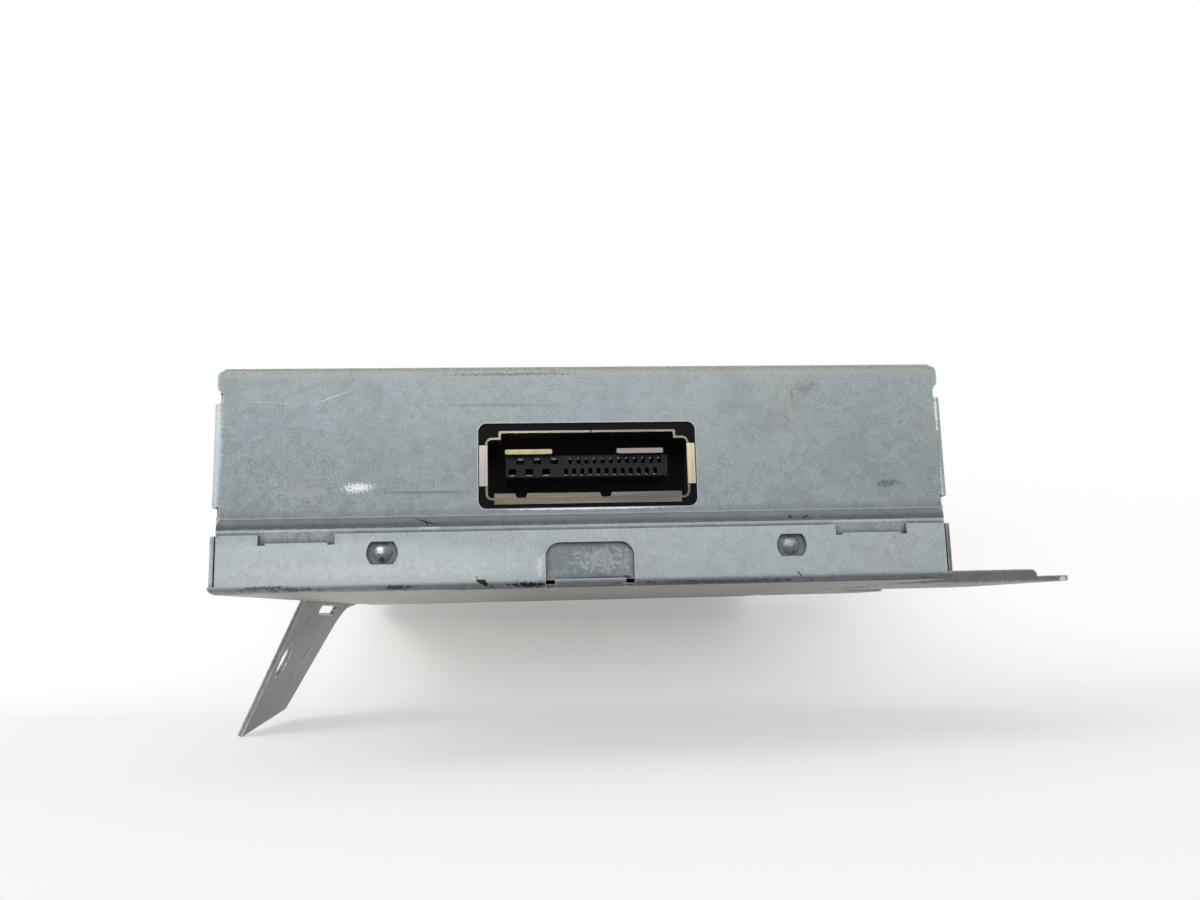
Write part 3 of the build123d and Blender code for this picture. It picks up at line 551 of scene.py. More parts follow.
def makeBoard(look):
    material, tree, shader, place = startMaterial("boardLaminate", {"Specular IOR Level": look["specular"]})
    turned = addStretch(tree, place, (1, 1, 1), (0, 0, pi / 2))
    lanes = addNode(tree, "ShaderNodeTexBrick", {
        "Vector": turned, "Scale": look["laneScale"], "Mortar Size": look["laneGap"]}).outputs["Fac"]
    routes = addRange(tree, addNoise(tree, place, *look["routes"]), *look["routeLevels"])
    tracks = multiply(tree, lanes, routes)
    weave = addNoise(tree, place, *look["weave"])
    colour = addMix(tree, tracks, opaque(look["colour"]), opaque(look["track"]))
    colour = addShade(tree, colour, addRange(tree, weave, *noiseSpan, *look["weaveShade"]))
    wearAndHighlight = useGroup(tree, edgeWearAndHighlight, {
        "Vector": place, "Width": look["wearWidth"], "Amount": look["wearAmount"]})[0]
    colour = addMix(tree, wearAndHighlight, colour, opaque(look["edge"]))
    rough = addRange(tree, weave, *noiseSpan, *look["weaveRough"])
    height = addMath(tree, "ADD", tracks, multiply(tree, weave, look["weaveHeight"]))
    bump = addBump(tree, height, look["bump"], look["bumpDepth"])
    linkAll(tree, shader.inputs, {"Base Color": colour, "Roughness": rough, "Normal": bump})
    return material


windingLook = {
    "colour": (0.60, 0.22, 0.08),
    "turns": 44,
    "metallic": 0.85,
    "coat": 0.6,
    "grooveShade": (0.0, 0.6, 0.3, 1.0),
    "stain": (200.0, 3.0),
    "stainShade": (0.85, 1.1),
    "stainRough": (0.25, 0.4),
    "bump": 1.0,
    "bumpDepth": 0.0006,
}


def makeWoundCopper(look):
    constants = {"Metallic": look["metallic"], "Coat Weight": look["coat"]}
    material, tree, shader, place = startMaterial("windingCopper", constants)
    centre = (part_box("choke_winding")[0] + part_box("choke_winding")[1]) / 2
    local = addVectorMath(tree, "SUBTRACT", place, tuple(centre))[0]
    parts = addNode(tree, "ShaderNodeSeparateXYZ", {0: local}).outputs
    angle = addMath(tree, "ARCTAN2", parts[1], parts[0])
    turns = addMath(tree, "ABSOLUTE", addMath(tree, "SINE", multiply(tree, angle, look["turns"] / 2)))
    stain = addNoise(tree, place, *look["stain"])
    colour = addShade(tree, look["colour"], addRange(tree, turns, *look["grooveShade"]))
    colour = addShade(tree, colour, addRange(tree, stain, *noiseSpan, *look["stainShade"]))
    rough = addRange(tree, stain, *noiseSpan, *look["stainRough"])
    bump = addBump(tree, turns, look["bump"], look["bumpDepth"])
    linkAll(tree, shader.inputs, {"Base Color": colour, "Roughness": rough, "Normal": bump})
    return material


# Marks on the steel, in metres: place, half size, tilt in the wall's plane, and how ragged the edge is.
# Bands run round a piece between two heights. Some marks and bands are scuffs, dust and dirt; others are
# painted shade, painted highlights and painted reflections, as noted at each.

noMarks = {}
caseMarks = {
    "whiteScuff": {
        "centre": (-0.0548, front, 0.0245), "half": (0.0036, 0.004, 0.0012), "tilt": 0.06, "ragged": 1.3,
        "grain": 2400.0, "colour": (0.9, 0.93, 0.95), "strength": 0.95},
    "greyHaze": {
        "centre": (-0.0683, front, 0.0240), "half": (0.0060, 0.004, 0.0020), "ragged": 1.2, "grain": 900.0,
        "colour": (0.50, 0.52, 0.56), "strength": 0.25},
    "darkSmudge": {
        "centre": (0.0736, front, 0.0237), "half": (0.0030, 0.004, 0.0010), "tilt": 0.05, "ragged": 1.1,
        "grain": 1300.0, "colour": (0.10, 0.11, 0.13), "strength": 0.6},
    "jogScratchLong": {
        "centre": (-0.0385, front, 0.0161), "half": (0.0034, 0.004, 0.00018), "tilt": -0.28, "ragged": 0.25,
        "grain": 500.0, "colour": (0.04, 0.045, 0.06), "strength": 0.9},
    "jogScratchShort": {
        "centre": (-0.0388, front, 0.0161), "half": (0.0013, 0.004, 0.00018), "tilt": -1.2, "ragged": 0.25,
        "grain": 500.0, "colour": (0.04, 0.045, 0.06), "strength": 0.8},
    "jogNickLeft": {
        "centre": (0.0490, front, 0.0160), "half": (0.0012, 0.004, 0.0003), "tilt": -0.5, "ragged": 0.8,
        "grain": 1400.0, "colour": (0.05, 0.05, 0.06), "strength": 0.8},
    "jogNickRight": {
        "centre": (0.0529, front, 0.0158), "half": (0.0012, 0.004, 0.0003), "tilt": 0.5, "ragged": 0.8,
        "grain": 1400.0, "colour": (0.05, 0.05, 0.06), "strength": 0.8},
    "dragLineLow": {
        "centre": (-0.0390, front, 0.0232), "half": (0.0120, 0.004, 0.00045), "tilt": -0.01, "ragged": 1.0,
        "grain": 1700.0, "colour": (0.15, 0.17, 0.18), "strength": 0.5},
    "dragLineHigh": {
        "centre": (-0.0230, front, 0.0442), "half": (0.0140, 0.004, 0.00045), "tilt": -0.01, "ragged": 1.0,
        "grain": 1700.0, "colour": (0.18, 0.19, 0.20), "strength": 0.4},
    "topSmudge": {
        "centre": (0.0548, front, 0.0478), "half": (0.0034, 0.004, 0.0014), "tilt": 0.3, "ragged": 1.2,
        "grain": 1200.0, "colour": (0.16, 0.17, 0.16), "strength": 0.42},
    "topDrip": {
        "centre": (0.0510, front, 0.0456), "half": (0.00035, 0.004, 0.0026), "ragged": 0.8, "grain": 900.0,
        "colour": (0.13, 0.13, 0.13), "strength": 0.4},
    # Painted highlights down the side edges of the wall
    "leftEdgeShine": {
        "centre": (-0.0880, front, 0.0340), "half": (0.0016, 0.004, 0.0190), "ragged": 0.35, "grain": 900.0,
        "colour": (0.78, 0.81, 0.84), "strength": 0.45},
    "rightEdgeShineHigh": {
        "centre": (0.0874, front, 0.0420), "half": (0.0004, 0.004, 0.0070), "ragged": 0.9, "grain": 1300.0,
        "colour": (0.95, 0.97, 0.98), "strength": 0.85},
    "rightEdgeShineLow": {
        "centre": (0.0875, front, 0.0220), "half": (0.0003, 0.004, 0.0080), "ragged": 1.1, "grain": 1300.0,
        "colour": (0.90, 0.92, 0.94), "strength": 0.6},
    # Painted shade round the dimples, a painted highlight on each dome and a painted dark reflection on the
    # left one
    "leftDimpleShade": {
        "centre": (-0.0493, front, 0.0090), "half": (0.0048, 0.006, 0.0036), "ragged": 0.15, "grain": 300.0,
        "colour": (0.10, 0.12, 0.14), "strength": 0.45},
    "leftDimpleGlint": {
        "centre": (-0.0495, front, 0.0097), "half": (0.0010, 0.006, 0.0012), "ragged": 0.7, "grain": 1600.0,
        "colour": (0.98, 1.0, 1.0), "strength": 0.8},
    "leftDimpleDarkReflection": {
        "centre": (-0.0492, front, 0.0075), "half": (0.0009, 0.006, 0.0008), "ragged": 0.2, "grain": 900.0,
        "colour": (0.05, 0.06, 0.07), "strength": 0.8},
    "rightDimpleShade": {
        "centre": (0.0488, front, 0.0090), "half": (0.0048, 0.006, 0.0036), "ragged": 0.15, "grain": 300.0,
        "colour": (0.10, 0.12, 0.13), "strength": 0.45},
    "rightDimpleGlint": {
        "centre": (0.0485, front, 0.0096), "half": (0.0013, 0.006, 0.0012), "ragged": 1.0, "grain": 1600.0,
        "colour": (0.80, 0.85, 0.88), "strength": 0.4},
    "topEdgeSpeckle": {
        "centre": (-0.0180, front, 0.0519), "half": (0.0150, 0.004, 0.0004), "ragged": 1.6, "grain": 1500.0,
        "colour": (0.09, 0.12, 0.10), "strength": 0.6},
    # Painted highlight: a bright line along the rim under the window
    "windowRimHighlight": {
        "centre": (-0.0005, front, 0.0187), "half": (0.0235, 0.004, 0.00028), "ragged": 0.4, "grain": 900.0,
        "colour": (0.92, 0.93, 0.95), "strength": 0.9},
    # Painted shade and a painted highlight on the tab in the middle window, and painted shade along its foot
    # and in its corner
    "tabShade": {
        "centre": (0.0000, front, 0.0060), "half": (0.0125, 0.006, 0.0062), "ragged": 0.2, "grain": 300.0,
        "colour": (0.16, 0.19, 0.20), "strength": 0.4},
    "tabHighlight": {
        "centre": (0.0019, front, 0.0066), "half": (0.0058, 0.006, 0.0030), "ragged": 1.6, "grain": 1000.0,
        "colour": (0.70, 0.76, 0.78), "strength": 0.32},
    "tabFootShadeLine": {
        "centre": (0.0000, front, 0.0021), "half": (0.0098, 0.006, 0.00035), "tilt": 0.02, "ragged": 0.15,
        "grain": 500.0, "colour": (0.04, 0.05, 0.06), "strength": 0.85},
    "tabFootCornerShade": {
        "centre": (0.0088, front, 0.0019), "half": (0.0014, 0.006, 0.0009), "ragged": 0.3, "grain": 700.0,
        "colour": (0.02, 0.025, 0.03), "strength": 0.9},
    "slantScratch": {
        "centre": (-0.0615, front, 0.0464), "half": (0.0060, 0.004, 0.00016), "tilt": 0.36, "ragged": 0.4,
        "grain": 700.0, "colour": (0.62, 0.65, 0.69), "strength": 0.7},
    "flatScratch": {
        "centre": (-0.0740, front, 0.0452), "half": (0.0090, 0.004, 0.00016), "tilt": -0.06, "ragged": 0.4,
        "grain": 700.0, "colour": (0.48, 0.50, 0.55), "strength": 0.5},
    # Painted highlight: a glint on the joggle
    "jogGlint": {
        "centre": (-0.0378, front + 0.001, 0.0148), "half": (0.0026, 0.004, 0.00022), "ragged": 1.2,
        "grain": 1800.0, "colour": (0.9, 0.92, 0.94), "strength": 0.85},
}
caseBands = {
    "topEdgeDust": {
        "low": 0.0513, "high": 0.0537, "blur": 0.0006, "ragged": 0.004, "grain": 1300.0,
        "colour": (0.42, 0.41, 0.37), "strength": 0.6},
    "topEdgeSpeckle": {
        "low": 0.0526, "high": 0.0534, "blur": 0.0002, "ragged": 0.0055, "grain": 1900.0,
        "colour": (0.14, 0.145, 0.125), "strength": 0.45},
    # Painted shade above and below the joggle and painted highlight lines along its bends
    "jogUpperShade": {
        "low": 0.0172, "high": 0.0190, "blur": 0.0009, "ragged": 0.0004, "grain": 400.0,
        "colour": (0.17, 0.19, 0.21), "strength": 0.32},
    "jogHighlightLine": {
        "low": 0.0160, "high": 0.01735, "blur": 0.0005, "ragged": 0.0002, "grain": 400.0,
        "colour": (0.85, 0.90, 0.93), "strength": 0.42},
    "jogLowerShade": {
        "low": 0.0156, "high": 0.0166, "blur": 0.0006, "ragged": 0.0005, "grain": 400.0,
        "colour": (0.13, 0.15, 0.16), "strength": 0.2},
    "jogFootHighlight": {
        "low": 0.0144, "high": 0.0149, "blur": 0.00018, "ragged": 0.0003, "grain": 900.0,
        "colour": (0.72, 0.76, 0.80), "strength": 0.6},
}
coverMarks = {
    # Painted highlight: the flange lighter towards the left
    "leftHighlight": {
        "centre": (-0.0700, front, 0.0060), "half": (0.0700, 0.004, 0.0075), "ragged": 0.12, "grain": 60.0,
        "colour": (0.84, 0.90, 0.94), "strength": 0.42},
    "bendWearFarLeft": {
        "centre": (-0.0760, front, 0.0014), "half": (0.0050, 0.003, 0.0005), "tilt": 0.05, "ragged": 1.2,
        "grain": 900.0, "colour": (0.05, 0.05, 0.06), "strength": 0.6},
    "bendWearLeft": {
        "centre": (-0.0690, front, 0.0008), "half": (0.0060, 0.003, 0.0006), "ragged": 1.2, "grain": 900.0,
        "colour": (0.06, 0.06, 0.07), "strength": 0.6},
    "bendWearUnderHole": {
        "centre": (-0.0455, front, 0.0009), "half": (0.0036, 0.003, 0.0006), "ragged": 1.2, "grain": 900.0,
        "colour": (0.03, 0.03, 0.04), "strength": 0.7},
    "bendChip": {
        "centre": (-0.0254, front, 0.0016), "half": (0.0022, 0.003, 0.0008), "tilt": -0.5, "ragged": 1.0,
        "grain": 900.0, "colour": (0.015, 0.015, 0.025), "strength": 0.95},
    "bendWearByWindow": {
        "centre": (-0.0150, front, 0.0008), "half": (0.0045, 0.003, 0.0007), "ragged": 1.0, "grain": 900.0,
        "colour": (0.015, 0.015, 0.025), "strength": 0.95},
    "bendWearRight": {
        "centre": (0.0300, front, 0.0006), "half": (0.0250, 0.003, 0.0005), "ragged": 1.0, "grain": 800.0,
        "colour": (0.04, 0.04, 0.05), "strength": 0.6},
    "bendNick": {
        "centre": (0.0506, front, 0.0020), "half": (0.0009, 0.003, 0.0002), "tilt": -0.8, "ragged": 0.6,
        "grain": 900.0, "colour": (0.03, 0.03, 0.04), "strength": 0.8},
    # Painted highlights on the flange, and beside the window
    "flangeHighlight": {
        "centre": (-0.0560, front, 0.0050), "half": (0.0300, 0.003, 0.0022), "ragged": 1.6, "grain": 700.0,
        "colour": (0.88, 0.92, 0.95), "strength": 0.35},
    "windowSideShine": {
        "centre": (-0.0120, front, 0.0050), "half": (0.0009, 0.003, 0.0026), "ragged": 1.0, "grain": 1300.0,
        "colour": (0.90, 0.93, 0.95), "strength": 0.6},
    # Painted reflection: the underside lighter to the left
    "undersideLeftReflection": {
        "centre": (-0.0600, front + 0.12, 0.0), "half": (0.0450, 0.3, 0.0004), "ragged": 0.5, "grain": 90.0,
        "colour": (0.46, 0.44, 0.40), "strength": 0.8},
    # Painted shade: a dark strip on the cover's right return
    "rightReturnShade": {
        "centre": (0.0887, front + 0.001, 0.0072), "half": (0.00055, 0.0035, 0.0085), "ragged": 0.2,
        "grain": 500.0, "colour": (0.13, 0.115, 0.14), "strength": 0.75},
}
coverBands = {
    # Painted shade along the lower bend, and a darker ragged line at its edge
    "bendShade": {
        "low": -0.01, "high": 0.0013, "blur": 0.0013, "ragged": 0.0007, "grain": 700.0,
        "colour": (0.11, 0.115, 0.13), "strength": 0.65},
    "bendDarkLine": {
        "low": -0.01, "high": 0.0005, "blur": 0.0003, "ragged": 0.0008, "grain": 700.0,
        "colour": (0.05, 0.05, 0.06), "strength": 0.75},
    # Painted shade and warm reflection: the underside given a darker, warmer tone
    "underside": {
        "low": -0.01, "high": 0.00003, "blur": 0.00002, "ragged": 0.0, "grain": 400.0,
        "colour": (0.235, 0.225, 0.195), "strength": 1.0},
    "undersideGrime": {
        "low": -0.01, "high": -0.0013, "blur": 0.0003, "ragged": 0.0125, "grain": 520.0,
        "colour": (0.10, 0.08, 0.06), "strength": 0.7},
}
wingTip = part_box("right_bracket")[1].x
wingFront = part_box("right_bracket")[0].y
wingMarks = {
    # Painted highlight at the wing's tip
    "tipShine": {
        "centre": (wingTip - 0.0022, wingFront, 0.0006), "half": (0.0013, 0.003, 0.0008), "ragged": 0.3,
        "grain": 900.0, "colour": (1.0, 1.0, 1.0), "strength": 0.9},
    # A darker patch on the wing
    "wingDarkPatch": {
        "centre": (wingTip - 0.030, wingFront + 0.02, 0.0), "half": (0.010, 0.018, 0.0006), "ragged": 1.4,
        "grain": 500.0, "colour": (0.10, 0.09, 0.11), "strength": 0.5},
}


# Finishes

# Bright colour for worn edges, scratches and glints; on the edges it also gives painted highlights
steelBright = (0.80, 0.84, 0.87)
caseZinc = makeSheetSteel("caseZinc", {
    "colour": (0.335, 0.385, 0.408), "warm": (0.352, 0.388, 0.392), "metallic": 0.75, "roughness": 0.48,
    "grains": 620.0, "contrast": 0.40, "wearAndHighlight": 1.0, "wearWidth": 0.0006, "scratches": 0.35, "specks": 500.0,
    "dirt": 0.42, "dirtColour": (0.20, 0.21, 0.21), "speckColour": (0.10, 0.11, 0.12), "bright": steelBright,
    "bump": 0.35}, caseMarks, caseBands)
coverZinc = makeSheetSteel("coverZinc", {
    "colour": (0.520, 0.590, 0.620), "warm": (0.540, 0.590, 0.600), "metallic": 0.75, "roughness": 0.42,
    "grains": 700.0, "contrast": 0.22, "wearAndHighlight": 1.0, "wearWidth": 0.0006, "scratches": 0.3, "specks": 380.0,
    "dirt": 0.34, "dirtColour": (0.22, 0.22, 0.22), "speckColour": (0.09, 0.10, 0.12), "bright": steelBright,
    "bump": 0.25}, coverMarks, coverBands)
# The brackets' edge wear is wide and near white, so their worn edges are also painted edge highlights.
bracketZinc = makeSheetSteel("bracketZinc", {
    "colour": (0.225, 0.235, 0.250), "warm": (0.250, 0.250, 0.260), "metallic": 0.75, "roughness": 0.42,
    "grains": 500.0, "contrast": 0.22, "wearAndHighlight": 1.0, "wearWidth": 0.0012, "scratches": 0.5, "specks": 500.0,
    "dirt": 0.38, "dirtColour": (0.10, 0.10, 0.11), "speckColour": (0.05, 0.05, 0.06),
    "bright": (0.95, 0.97, 1.0), "bump": 0.4}, noMarks, noMarks)
wingZinc = makeSheetSteel("wingZinc", {
    "colour": (0.225, 0.225, 0.248), "warm": (0.245, 0.238, 0.258), "metallic": 0.7, "roughness": 0.42,
    "grains": 500.0, "contrast": 0.3, "wearAndHighlight": 1.0, "wearWidth": 0.0010, "scratches": 0.5, "specks": 500.0,
    "dirt": 0.38, "dirtColour": (0.14, 0.13, 0.14), "speckColour": (0.06, 0.055, 0.06),
    "bright": (0.90, 0.91, 0.95), "bump": 0.4}, wingMarks, noMarks)
screwZinc = makeSheetSteel("screwZinc", {
    "colour": (0.52, 0.50, 0.42), "warm": (0.56, 0.50, 0.36), "metallic": 1.0, "roughness": 0.32,
    "grains": 1600.0, "contrast": 0.1, "wearAndHighlight": 0.9, "wearWidth": 0.0002, "scratches": 0.2, "specks": 900.0,
    "dirt": 0.3, "dirtColour": (0.14, 0.13, 0.11), "speckColour": (0.08, 0.07, 0.06),
    "bright": (0.8, 0.79, 0.74), "bump": 0.3}, noMarks, noMarks)
tinPlate = makeSheetSteel("tinPlate", {
    "colour": (0.56, 0.57, 0.57), "warm": (0.60, 0.60, 0.58), "metallic": 1.0, "roughness": 0.30,
    "grains": 420.0, "contrast": 0.12, "wearAndHighlight": 0.7, "wearWidth": 0.0002, "scratches": 0.4, "specks": 900.0,
    "dirt": 0.3, "dirtColour": (0.3, 0.3, 0.28), "speckColour": (0.2, 0.2, 0.19), "bright": (0.8, 0.8, 0.8),
    "bump": 0.2}, noMarks, noMarks)
# Shield, clips and key bars change from the first to the second colour from left to right, a painted
# reflection
shieldNickel = makePlating("shieldNickel", {
    "colour": (0.80, 0.71, 0.53), "second": (0.58, 0.52, 0.47), "bright": (1.0, 0.95, 0.82),
    "across": (-0.006, 0.010), "tarnish": (0.20, 0.18, 0.16), "stretch": (60, 60, 1400), "patches": 160.0,
    "wearWidth": 0.0003, "roughness": 0.24, "dirt": 0.32, "bump": 0.05})
clipFlash = makePlating("clipFlash", {
    "colour": (0.80, 0.74, 0.74), "second": (1.0, 0.90, 0.62), "bright": (1.0, 0.97, 0.90),
    "across": (-0.01, 0.01), "tarnish": (0.30, 0.26, 0.24), "stretch": (1800, 60, 60), "patches": 200.0,
    "wearWidth": 0.00012, "roughness": 0.34, "dirt": 0.28, "bump": 0.1})
keyBarFlash = makePlating("keyBarFlash", {
    "colour": (0.84, 0.70, 0.42), "second": (0.52, 0.45, 0.43), "bright": (0.95, 0.86, 0.66),
    "across": (-0.012, 0.012), "tarnish": (0.26, 0.21, 0.17), "stretch": (60, 60, 1800), "patches": 400.0,
    "wearWidth": 0.0001, "roughness": 0.32, "dirt": 0.36, "bump": 0.1})
# Paler and less metallic than gold plating, so the contacts show bright in their dark cavities: a painted
# highlight
contactGold = makePlating("contactGold", {
    "colour": (1.0, 0.89, 0.58), "second": (1.0, 0.90, 0.64), "bright": (1.0, 0.98, 0.88), "metallic": 0.4,
    "tarnish": (0.7, 0.58, 0.36), "stretch": (2000, 200, 200), "patches": 600.0, "wearWidth": 0.0001,
    "roughness": 0.30, "dirt": 0.12, "bump": 0.1})
aerialNickel = makePlating("aerialNickel", {
    "colour": (0.64, 0.63, 0.60), "second": (0.56, 0.55, 0.53), "bright": (0.9, 0.9, 0.88),
    "tarnish": (0.25, 0.24, 0.22), "stretch": (200, 2600, 200), "patches": 200.0, "wearWidth": 0.0002,
    "roughness": 0.24, "dirt": 0.3, "bump": 0.3})
sinkAluminium = makePlating("sinkAluminium", {
    "colour": (0.72, 0.73, 0.74), "second": (0.66, 0.67, 0.69), "bright": (0.92, 0.92, 0.93),
    "tarnish": (0.4, 0.4, 0.41), "stretch": (1500, 1500, 30), "patches": 90.0, "wearWidth": 0.0002,
    "roughness": 0.34, "dirt": 0.3, "bump": 0.5})
crystalNickel = makePlating("crystalNickel", {
    "colour": (0.70, 0.70, 0.69), "second": (0.64, 0.64, 0.63), "bright": (0.92, 0.92, 0.9),
    "tarnish": (0.4, 0.4, 0.38), "stretch": (900, 60, 900), "patches": 300.0, "wearWidth": 0.0002,
    "roughness": 0.22, "dirt": 0.25, "bump": 0.2})
clampSteel = makePlating("clampSteel", {
    "colour": (0.46, 0.46, 0.47), "second": (0.40, 0.40, 0.42), "bright": (0.82, 0.82, 0.84),
    "tarnish": (0.16, 0.15, 0.14), "stretch": (60, 60, 1600), "patches": 200.0, "wearWidth": 0.0002,
    "roughness": 0.33, "dirt": 0.32, "bump": 0.3})
socketBlack = makeMoulding("socketBlack", {
    "colour": (0.0035, 0.0035, 0.0045), "edge": (0.05, 0.05, 0.055), "dustColour": (0.05, 0.05, 0.05),
    "grain": 3800.0, "contrast": 0.35, "roughness": 0.42, "bump": 0.3, "dust": 0.24, "specular": 0.1})
blockBlack = makeMoulding("blockBlack", {
    "colour": (0.010, 0.0115, 0.017), "edge": (0.10, 0.11, 0.14), "dustColour": (0.10, 0.10, 0.12),
    "grain": 4200.0, "contrast": 0.3, "roughness": 0.42, "bump": 0.3, "dust": 0.26, "specular": 0.22})
chipBlack = makeMoulding("chipBlack", {
    "colour": (0.022, 0.022, 0.024), "edge": (0.10, 0.10, 0.10), "dustColour": (0.25, 0.24, 0.22),
    "grain": 5200.0, "contrast": 0.3, "roughness": 0.55, "bump": 0.5, "dust": 0.3})
holderBlack = makeMoulding("holderBlack", {
    "colour": (0.03, 0.03, 0.03), "edge": (0.14, 0.14, 0.14), "dustColour": (0.25, 0.24, 0.22),
    "grain": 2600.0, "contrast": 0.2, "roughness": 0.34, "bump": 0.25, "dust": 0.28})
fuseOrange = makeMoulding("fuseOrange", {
    "colour": (0.85, 0.24, 0.03), "edge": (0.95, 0.45, 0.15), "dustColour": (0.5, 0.4, 0.3), "grain": 1800.0,
    "contrast": 0.12, "roughness": 0.22, "bump": 0.15, "dust": 0.25, "clear": 0.3})
sleeveBlue = makeMoulding("sleeveBlue", {
    "colour": (0.03, 0.04, 0.11), "edge": (0.2, 0.22, 0.3), "dustColour": (0.25, 0.24, 0.24), "grain": 1500.0,
    "contrast": 0.15, "roughness": 0.26, "bump": 0.2, "dust": 0.28})
ferriteGrey = makeMoulding("ferriteGrey", {
    "colour": (0.06, 0.06, 0.065), "edge": (0.2, 0.2, 0.2), "dustColour": (0.25, 0.24, 0.22), "grain": 2200.0,
    "contrast": 0.4, "roughness": 0.6, "bump": 0.6, "dust": 0.3})
boardLaminate = makeBoard(boardLook)
windingCopper = makeWoundCopper(windingLook)
print("finishes built:", len(bpy.data.materials))

# The finish and the material slot of each piece
pieceFinish = {
    "upper_case": (caseZinc, "case_steel"),
    "bottom_cover": (coverZinc, "cover_steel"),
    "left_bracket": (bracketZinc, "bracket_steel"),
    "right_bracket": (wingZinc, "bracket_steel"),
    "socket_body": (socketBlack, "socket_plastic"),
    "socket_shield": (shieldNickel, "shield_plate"),
    "shield_spring_clips": (clipFlash, "spring_plate"),
    "key_bars": (keyBarFlash, "spring_plate"),
    "contact_block": (blockBlack, "block_plastic"),
    "power_contacts": (contactGold, "contact_gold"),
    "signal_contacts": (contactGold, "contact_gold"),
    "main_board": (boardLaminate, "board_laminate"),
    "filter_capacitors": (sleeveBlue, "cap_sleeve"),
    "small_capacitors": (sleeveBlue, "cap_sleeve"),
    "choke_core": (ferriteGrey, "ferrite"),
    "choke_winding": (windingCopper, "winding_copper"),
    "main_processor": (chipBlack, "chip_plastic"),
    "sound_processor": (chipBlack, "chip_plastic"),
    "memory_chip": (chipBlack, "chip_plastic"),
    "voltage_regulator": (chipBlack, "chip_plastic"),
    "power_amplifier": (chipBlack, "chip_plastic"),
    "diodes": (chipBlack, "chip_plastic"),
    "crystal": (crystalNickel, "crystal_can"),
    "fuse_holder": (holderBlack, "holder_plastic"),
    "blade_fuse": (fuseOrange, "fuse_plastic"),
    "tuner_can": (tinPlate, "can_tinplate"),
    "aerial_socket": (aerialNickel, "aerial_metal"),
    "aerial_contact": (contactGold, "contact_gold"),
    "heat_sink": (sinkAluminium, "sink_aluminium"),
    "clamp_spring": (clampSteel, "clamp_steel"),
    "bracket_screws": (screwZinc, "screw_steel"),
    "cover_screws": (screwZinc, "screw_steel"),
    "board_screws": (screwZinc, "screw_steel"),
    "heat_sink_screws": (screwZinc, "screw_steel"),
    "clamp_screws": (screwZinc, "screw_steel"),
}
for node, (finish, slotName) in pieceFinish.items():
    piece = cadNodes[node]
    piece.data.materials.clear()
    piece.data.materials.append(finish)
print("finishes placed:", len(pieceFinish))


# Floor, backdrop and light

stageLook = {
    "floorSize": 6.0,
    "backdropGap": 0.002,
    "backdropLift": 0.0002,
    "backdropTop": 3.0,
    "sweepRadius": 0.055,
    "sweepSteps": 24,
    "paint": (0.97, 0.965, 0.95),
    "floorShadow": 0.08,
    "backdropShadow": 0.86,
    "shadowLevels": (-0.072, -0.005),
    "fadeLevels": (0.02, 0.075),
    "highShadow": 0.12,
    "floorGlow": 0.88,
    "backdropGlow": 1.05,
}


def addSeen(tree):
    path = addNode(tree, "ShaderNodeLightPath").outputs
    seen = addMath(tree, "MAXIMUM", path["Is Camera Ray"], path["Is Glossy Ray"])
    return addMath(tree, "MAXIMUM", seen, path["Is Transmission Ray"])


# Part white glow and part lit paint, so that only a soft share of the unit's shadow shows

def makeStagePaint(name, look, oneSided):
    material = bpy.data.materials.new(name)
    material.use_nodes = True
    tree = material.node_tree
    tree.nodes.clear()
    seen = addSeen(tree)
    painted = addNode(tree, "ShaderNodeBsdfDiffuse", {"Color": opaque(look["paint"])}).outputs[0]
    place = addNode(tree, "ShaderNodeTexCoord").outputs["Object"]
    height = addNode(tree, "ShaderNodeSeparateXYZ", {0: place}).outputs[2]
    # The glow is dimmer on the floor than up the backdrop: a painted shade towards the bottom
    glow = addRange(tree, height, *look["shadowLevels"], look["floorGlow"], look["backdropGlow"])
    white = addNode(tree, "ShaderNodeEmission", {"Color": opaque(look["paint"]), "Strength": glow}).outputs[0]
    shadow = addRange(tree, height, *look["shadowLevels"], look["floorShadow"], look["backdropShadow"])
    fade = addRange(tree, height, *look["fadeLevels"], 1.0, look["highShadow"], smooth=True)
    lit = addMath(tree, "SUBTRACT", 1.0, multiply(tree, shadow, fade))
    share = multiply(tree, seen, lit)
    shown = addNode(tree, "ShaderNodeMixShader", {0: share, 1: painted, 2: white}).outputs[0]
    if oneSided:  # a camera behind the backdrop looks through it
        behind = addNode(tree, "ShaderNodeNewGeometry").outputs["Backfacing"]
        clear = addNode(tree, "ShaderNodeBsdfTransparent").outputs[0]
        shown = addNode(tree, "ShaderNodeMixShader", {0: behind, 1: shown, 2: clear}).outputs[0]
    output = addNode(tree, "ShaderNodeOutputMaterial")
    tree.links.new(shown, output.inputs["Surface"])
    return material


def addSheet(name, corners, faces, material):
    mesh = bpy.data.meshes.new(name)
    mesh.from_pydata(corners, [], faces)
    mesh.materials.append(material)
    sheet = bpy.data.objects.new(name, mesh)
    scene.collection.objects.link(sheet)
    sheet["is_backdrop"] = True
    return sheet


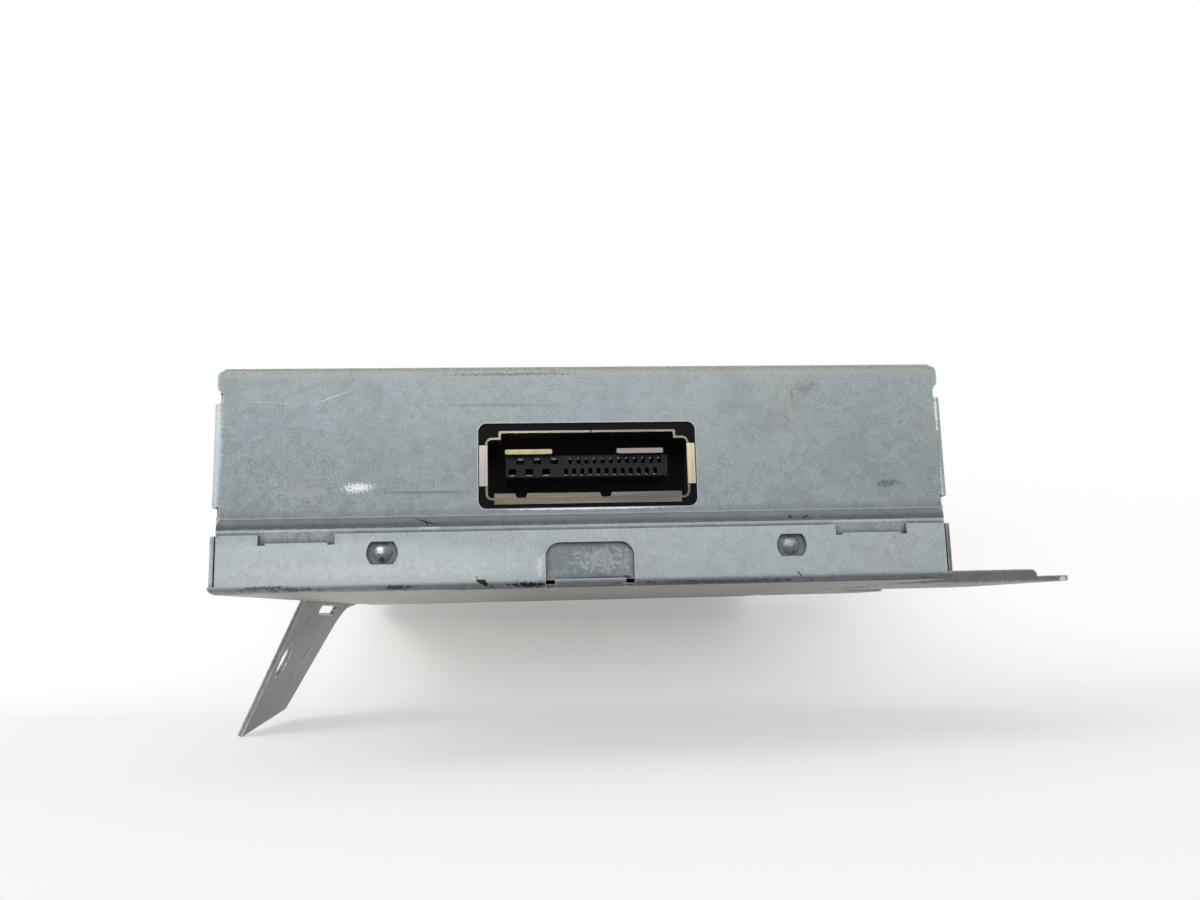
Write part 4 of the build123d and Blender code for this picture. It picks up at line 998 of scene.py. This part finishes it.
def makeStage(look):
    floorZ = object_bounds()[0].z
    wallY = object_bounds()[1].y + look["backdropGap"]
    half = look["floorSize"] / 2
    corners = [(-half, -half, floorZ), (half, -half, floorZ), (half, half, floorZ), (-half, half, floorZ)]
    addSheet("floor", corners, [(0, 1, 2, 3)], makeStagePaint("floorPaint", look, False))
    radius = look["sweepRadius"]
    steps = look["sweepSteps"]
    middleY = wallY - radius
    middleZ = floorZ + look["backdropLift"] + radius
    turns = [pi / 2 * step / steps for step in range(steps + 1)]
    profile = [(middleY + radius * sin(turn), middleZ - radius * cos(turn)) for turn in turns]
    profile.append((wallY, look["backdropTop"]))
    corners = [(x, y, z) for y, z in profile for x in (-half, half)]
    faces = [(2 * i, 2 * i + 1, 2 * i + 3, 2 * i + 2) for i in range(len(profile) - 1)]
    backdrop = addSheet("backdrop", corners, faces, makeStagePaint("backdropPaint", look, True))
    for polygon in backdrop.data.polygons:
        polygon.use_smooth = True
    backdrop.visible_shadow = False
    backdrop.visible_diffuse = False


makeStage(stageLook)

cardLook = {
    "halfWidth": 0.5,
    "near": -0.124,
    "far": -0.45,
    "top": 0.13,
    "lift": 0.0006,
    "paint": (0.02, 0.02, 0.022),
    "roughness": 1.0,
}


# Two dark sheets that only reflections see, for the dark room that the bright metal mirrors

def makeDarkCards(look):
    material = bpy.data.materials.new("darkCard")
    material.use_nodes = True
    shader = material.node_tree.nodes["Principled BSDF"]
    shader.inputs["Base Color"].default_value = opaque(look["paint"])
    shader.inputs["Roughness"].default_value = look["roughness"]
    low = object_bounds()[0].z + look["lift"]
    half = look["halfWidth"]
    corners = [(x, y, z) for y, z in ((look["near"], low), (look["far"], low), (look["far"], look["top"]))
               for x in (-half, half)]
    card = addSheet("darkCards", corners, [(0, 1, 3, 2), (2, 3, 5, 4)], material)
    for ray in ("camera", "shadow", "diffuse", "transmission", "volume_scatter"):
        setattr(card, "visible_" + ray, False)


makeDarkCards(cardLook)

lampLook = {
    "key": {"place": (0.06, -1.52, 0.34), "aim": (0, 0.0, 0.0), "size": (1.0, 0.8), "power": 4.9},
    "side": {"place": (-0.95, -0.75, 0.75), "aim": (0, 0.05, 0), "size": (0.6, 0.6), "power": 6.5},
}


def addLamp(name, look):
    data = bpy.data.lights.new(name, "AREA")
    data.shape = "RECTANGLE"
    data.size, data.size_y = look["size"]
    data.energy = look["power"]
    lamp = bpy.data.objects.new(name, data)
    scene.collection.objects.link(lamp)
    lamp.location = look["place"]
    away = Vector(look["aim"]) - lamp.location
    lamp.rotation_euler = away.to_track_quat("-Z", "Y").to_euler()


for lampName, look in lampLook.items():
    addLamp(lampName, look)

worldLook = {"white": (1.0, 1.0, 1.0), "fill": 0.72}


def makeWorld(look):
    world = bpy.data.worlds.new("studio")
    scene.world = world
    world.use_nodes = True
    tree = world.node_tree
    background = tree.nodes["Background"]
    background.inputs["Color"].default_value = opaque(look["white"])
    strength = addRange(tree, addSeen(tree), 0.0, 1.0, look["fill"], 1.0)
    tree.links.new(strength, background.inputs["Strength"])


makeWorld(worldLook)
print("stage and light placed")
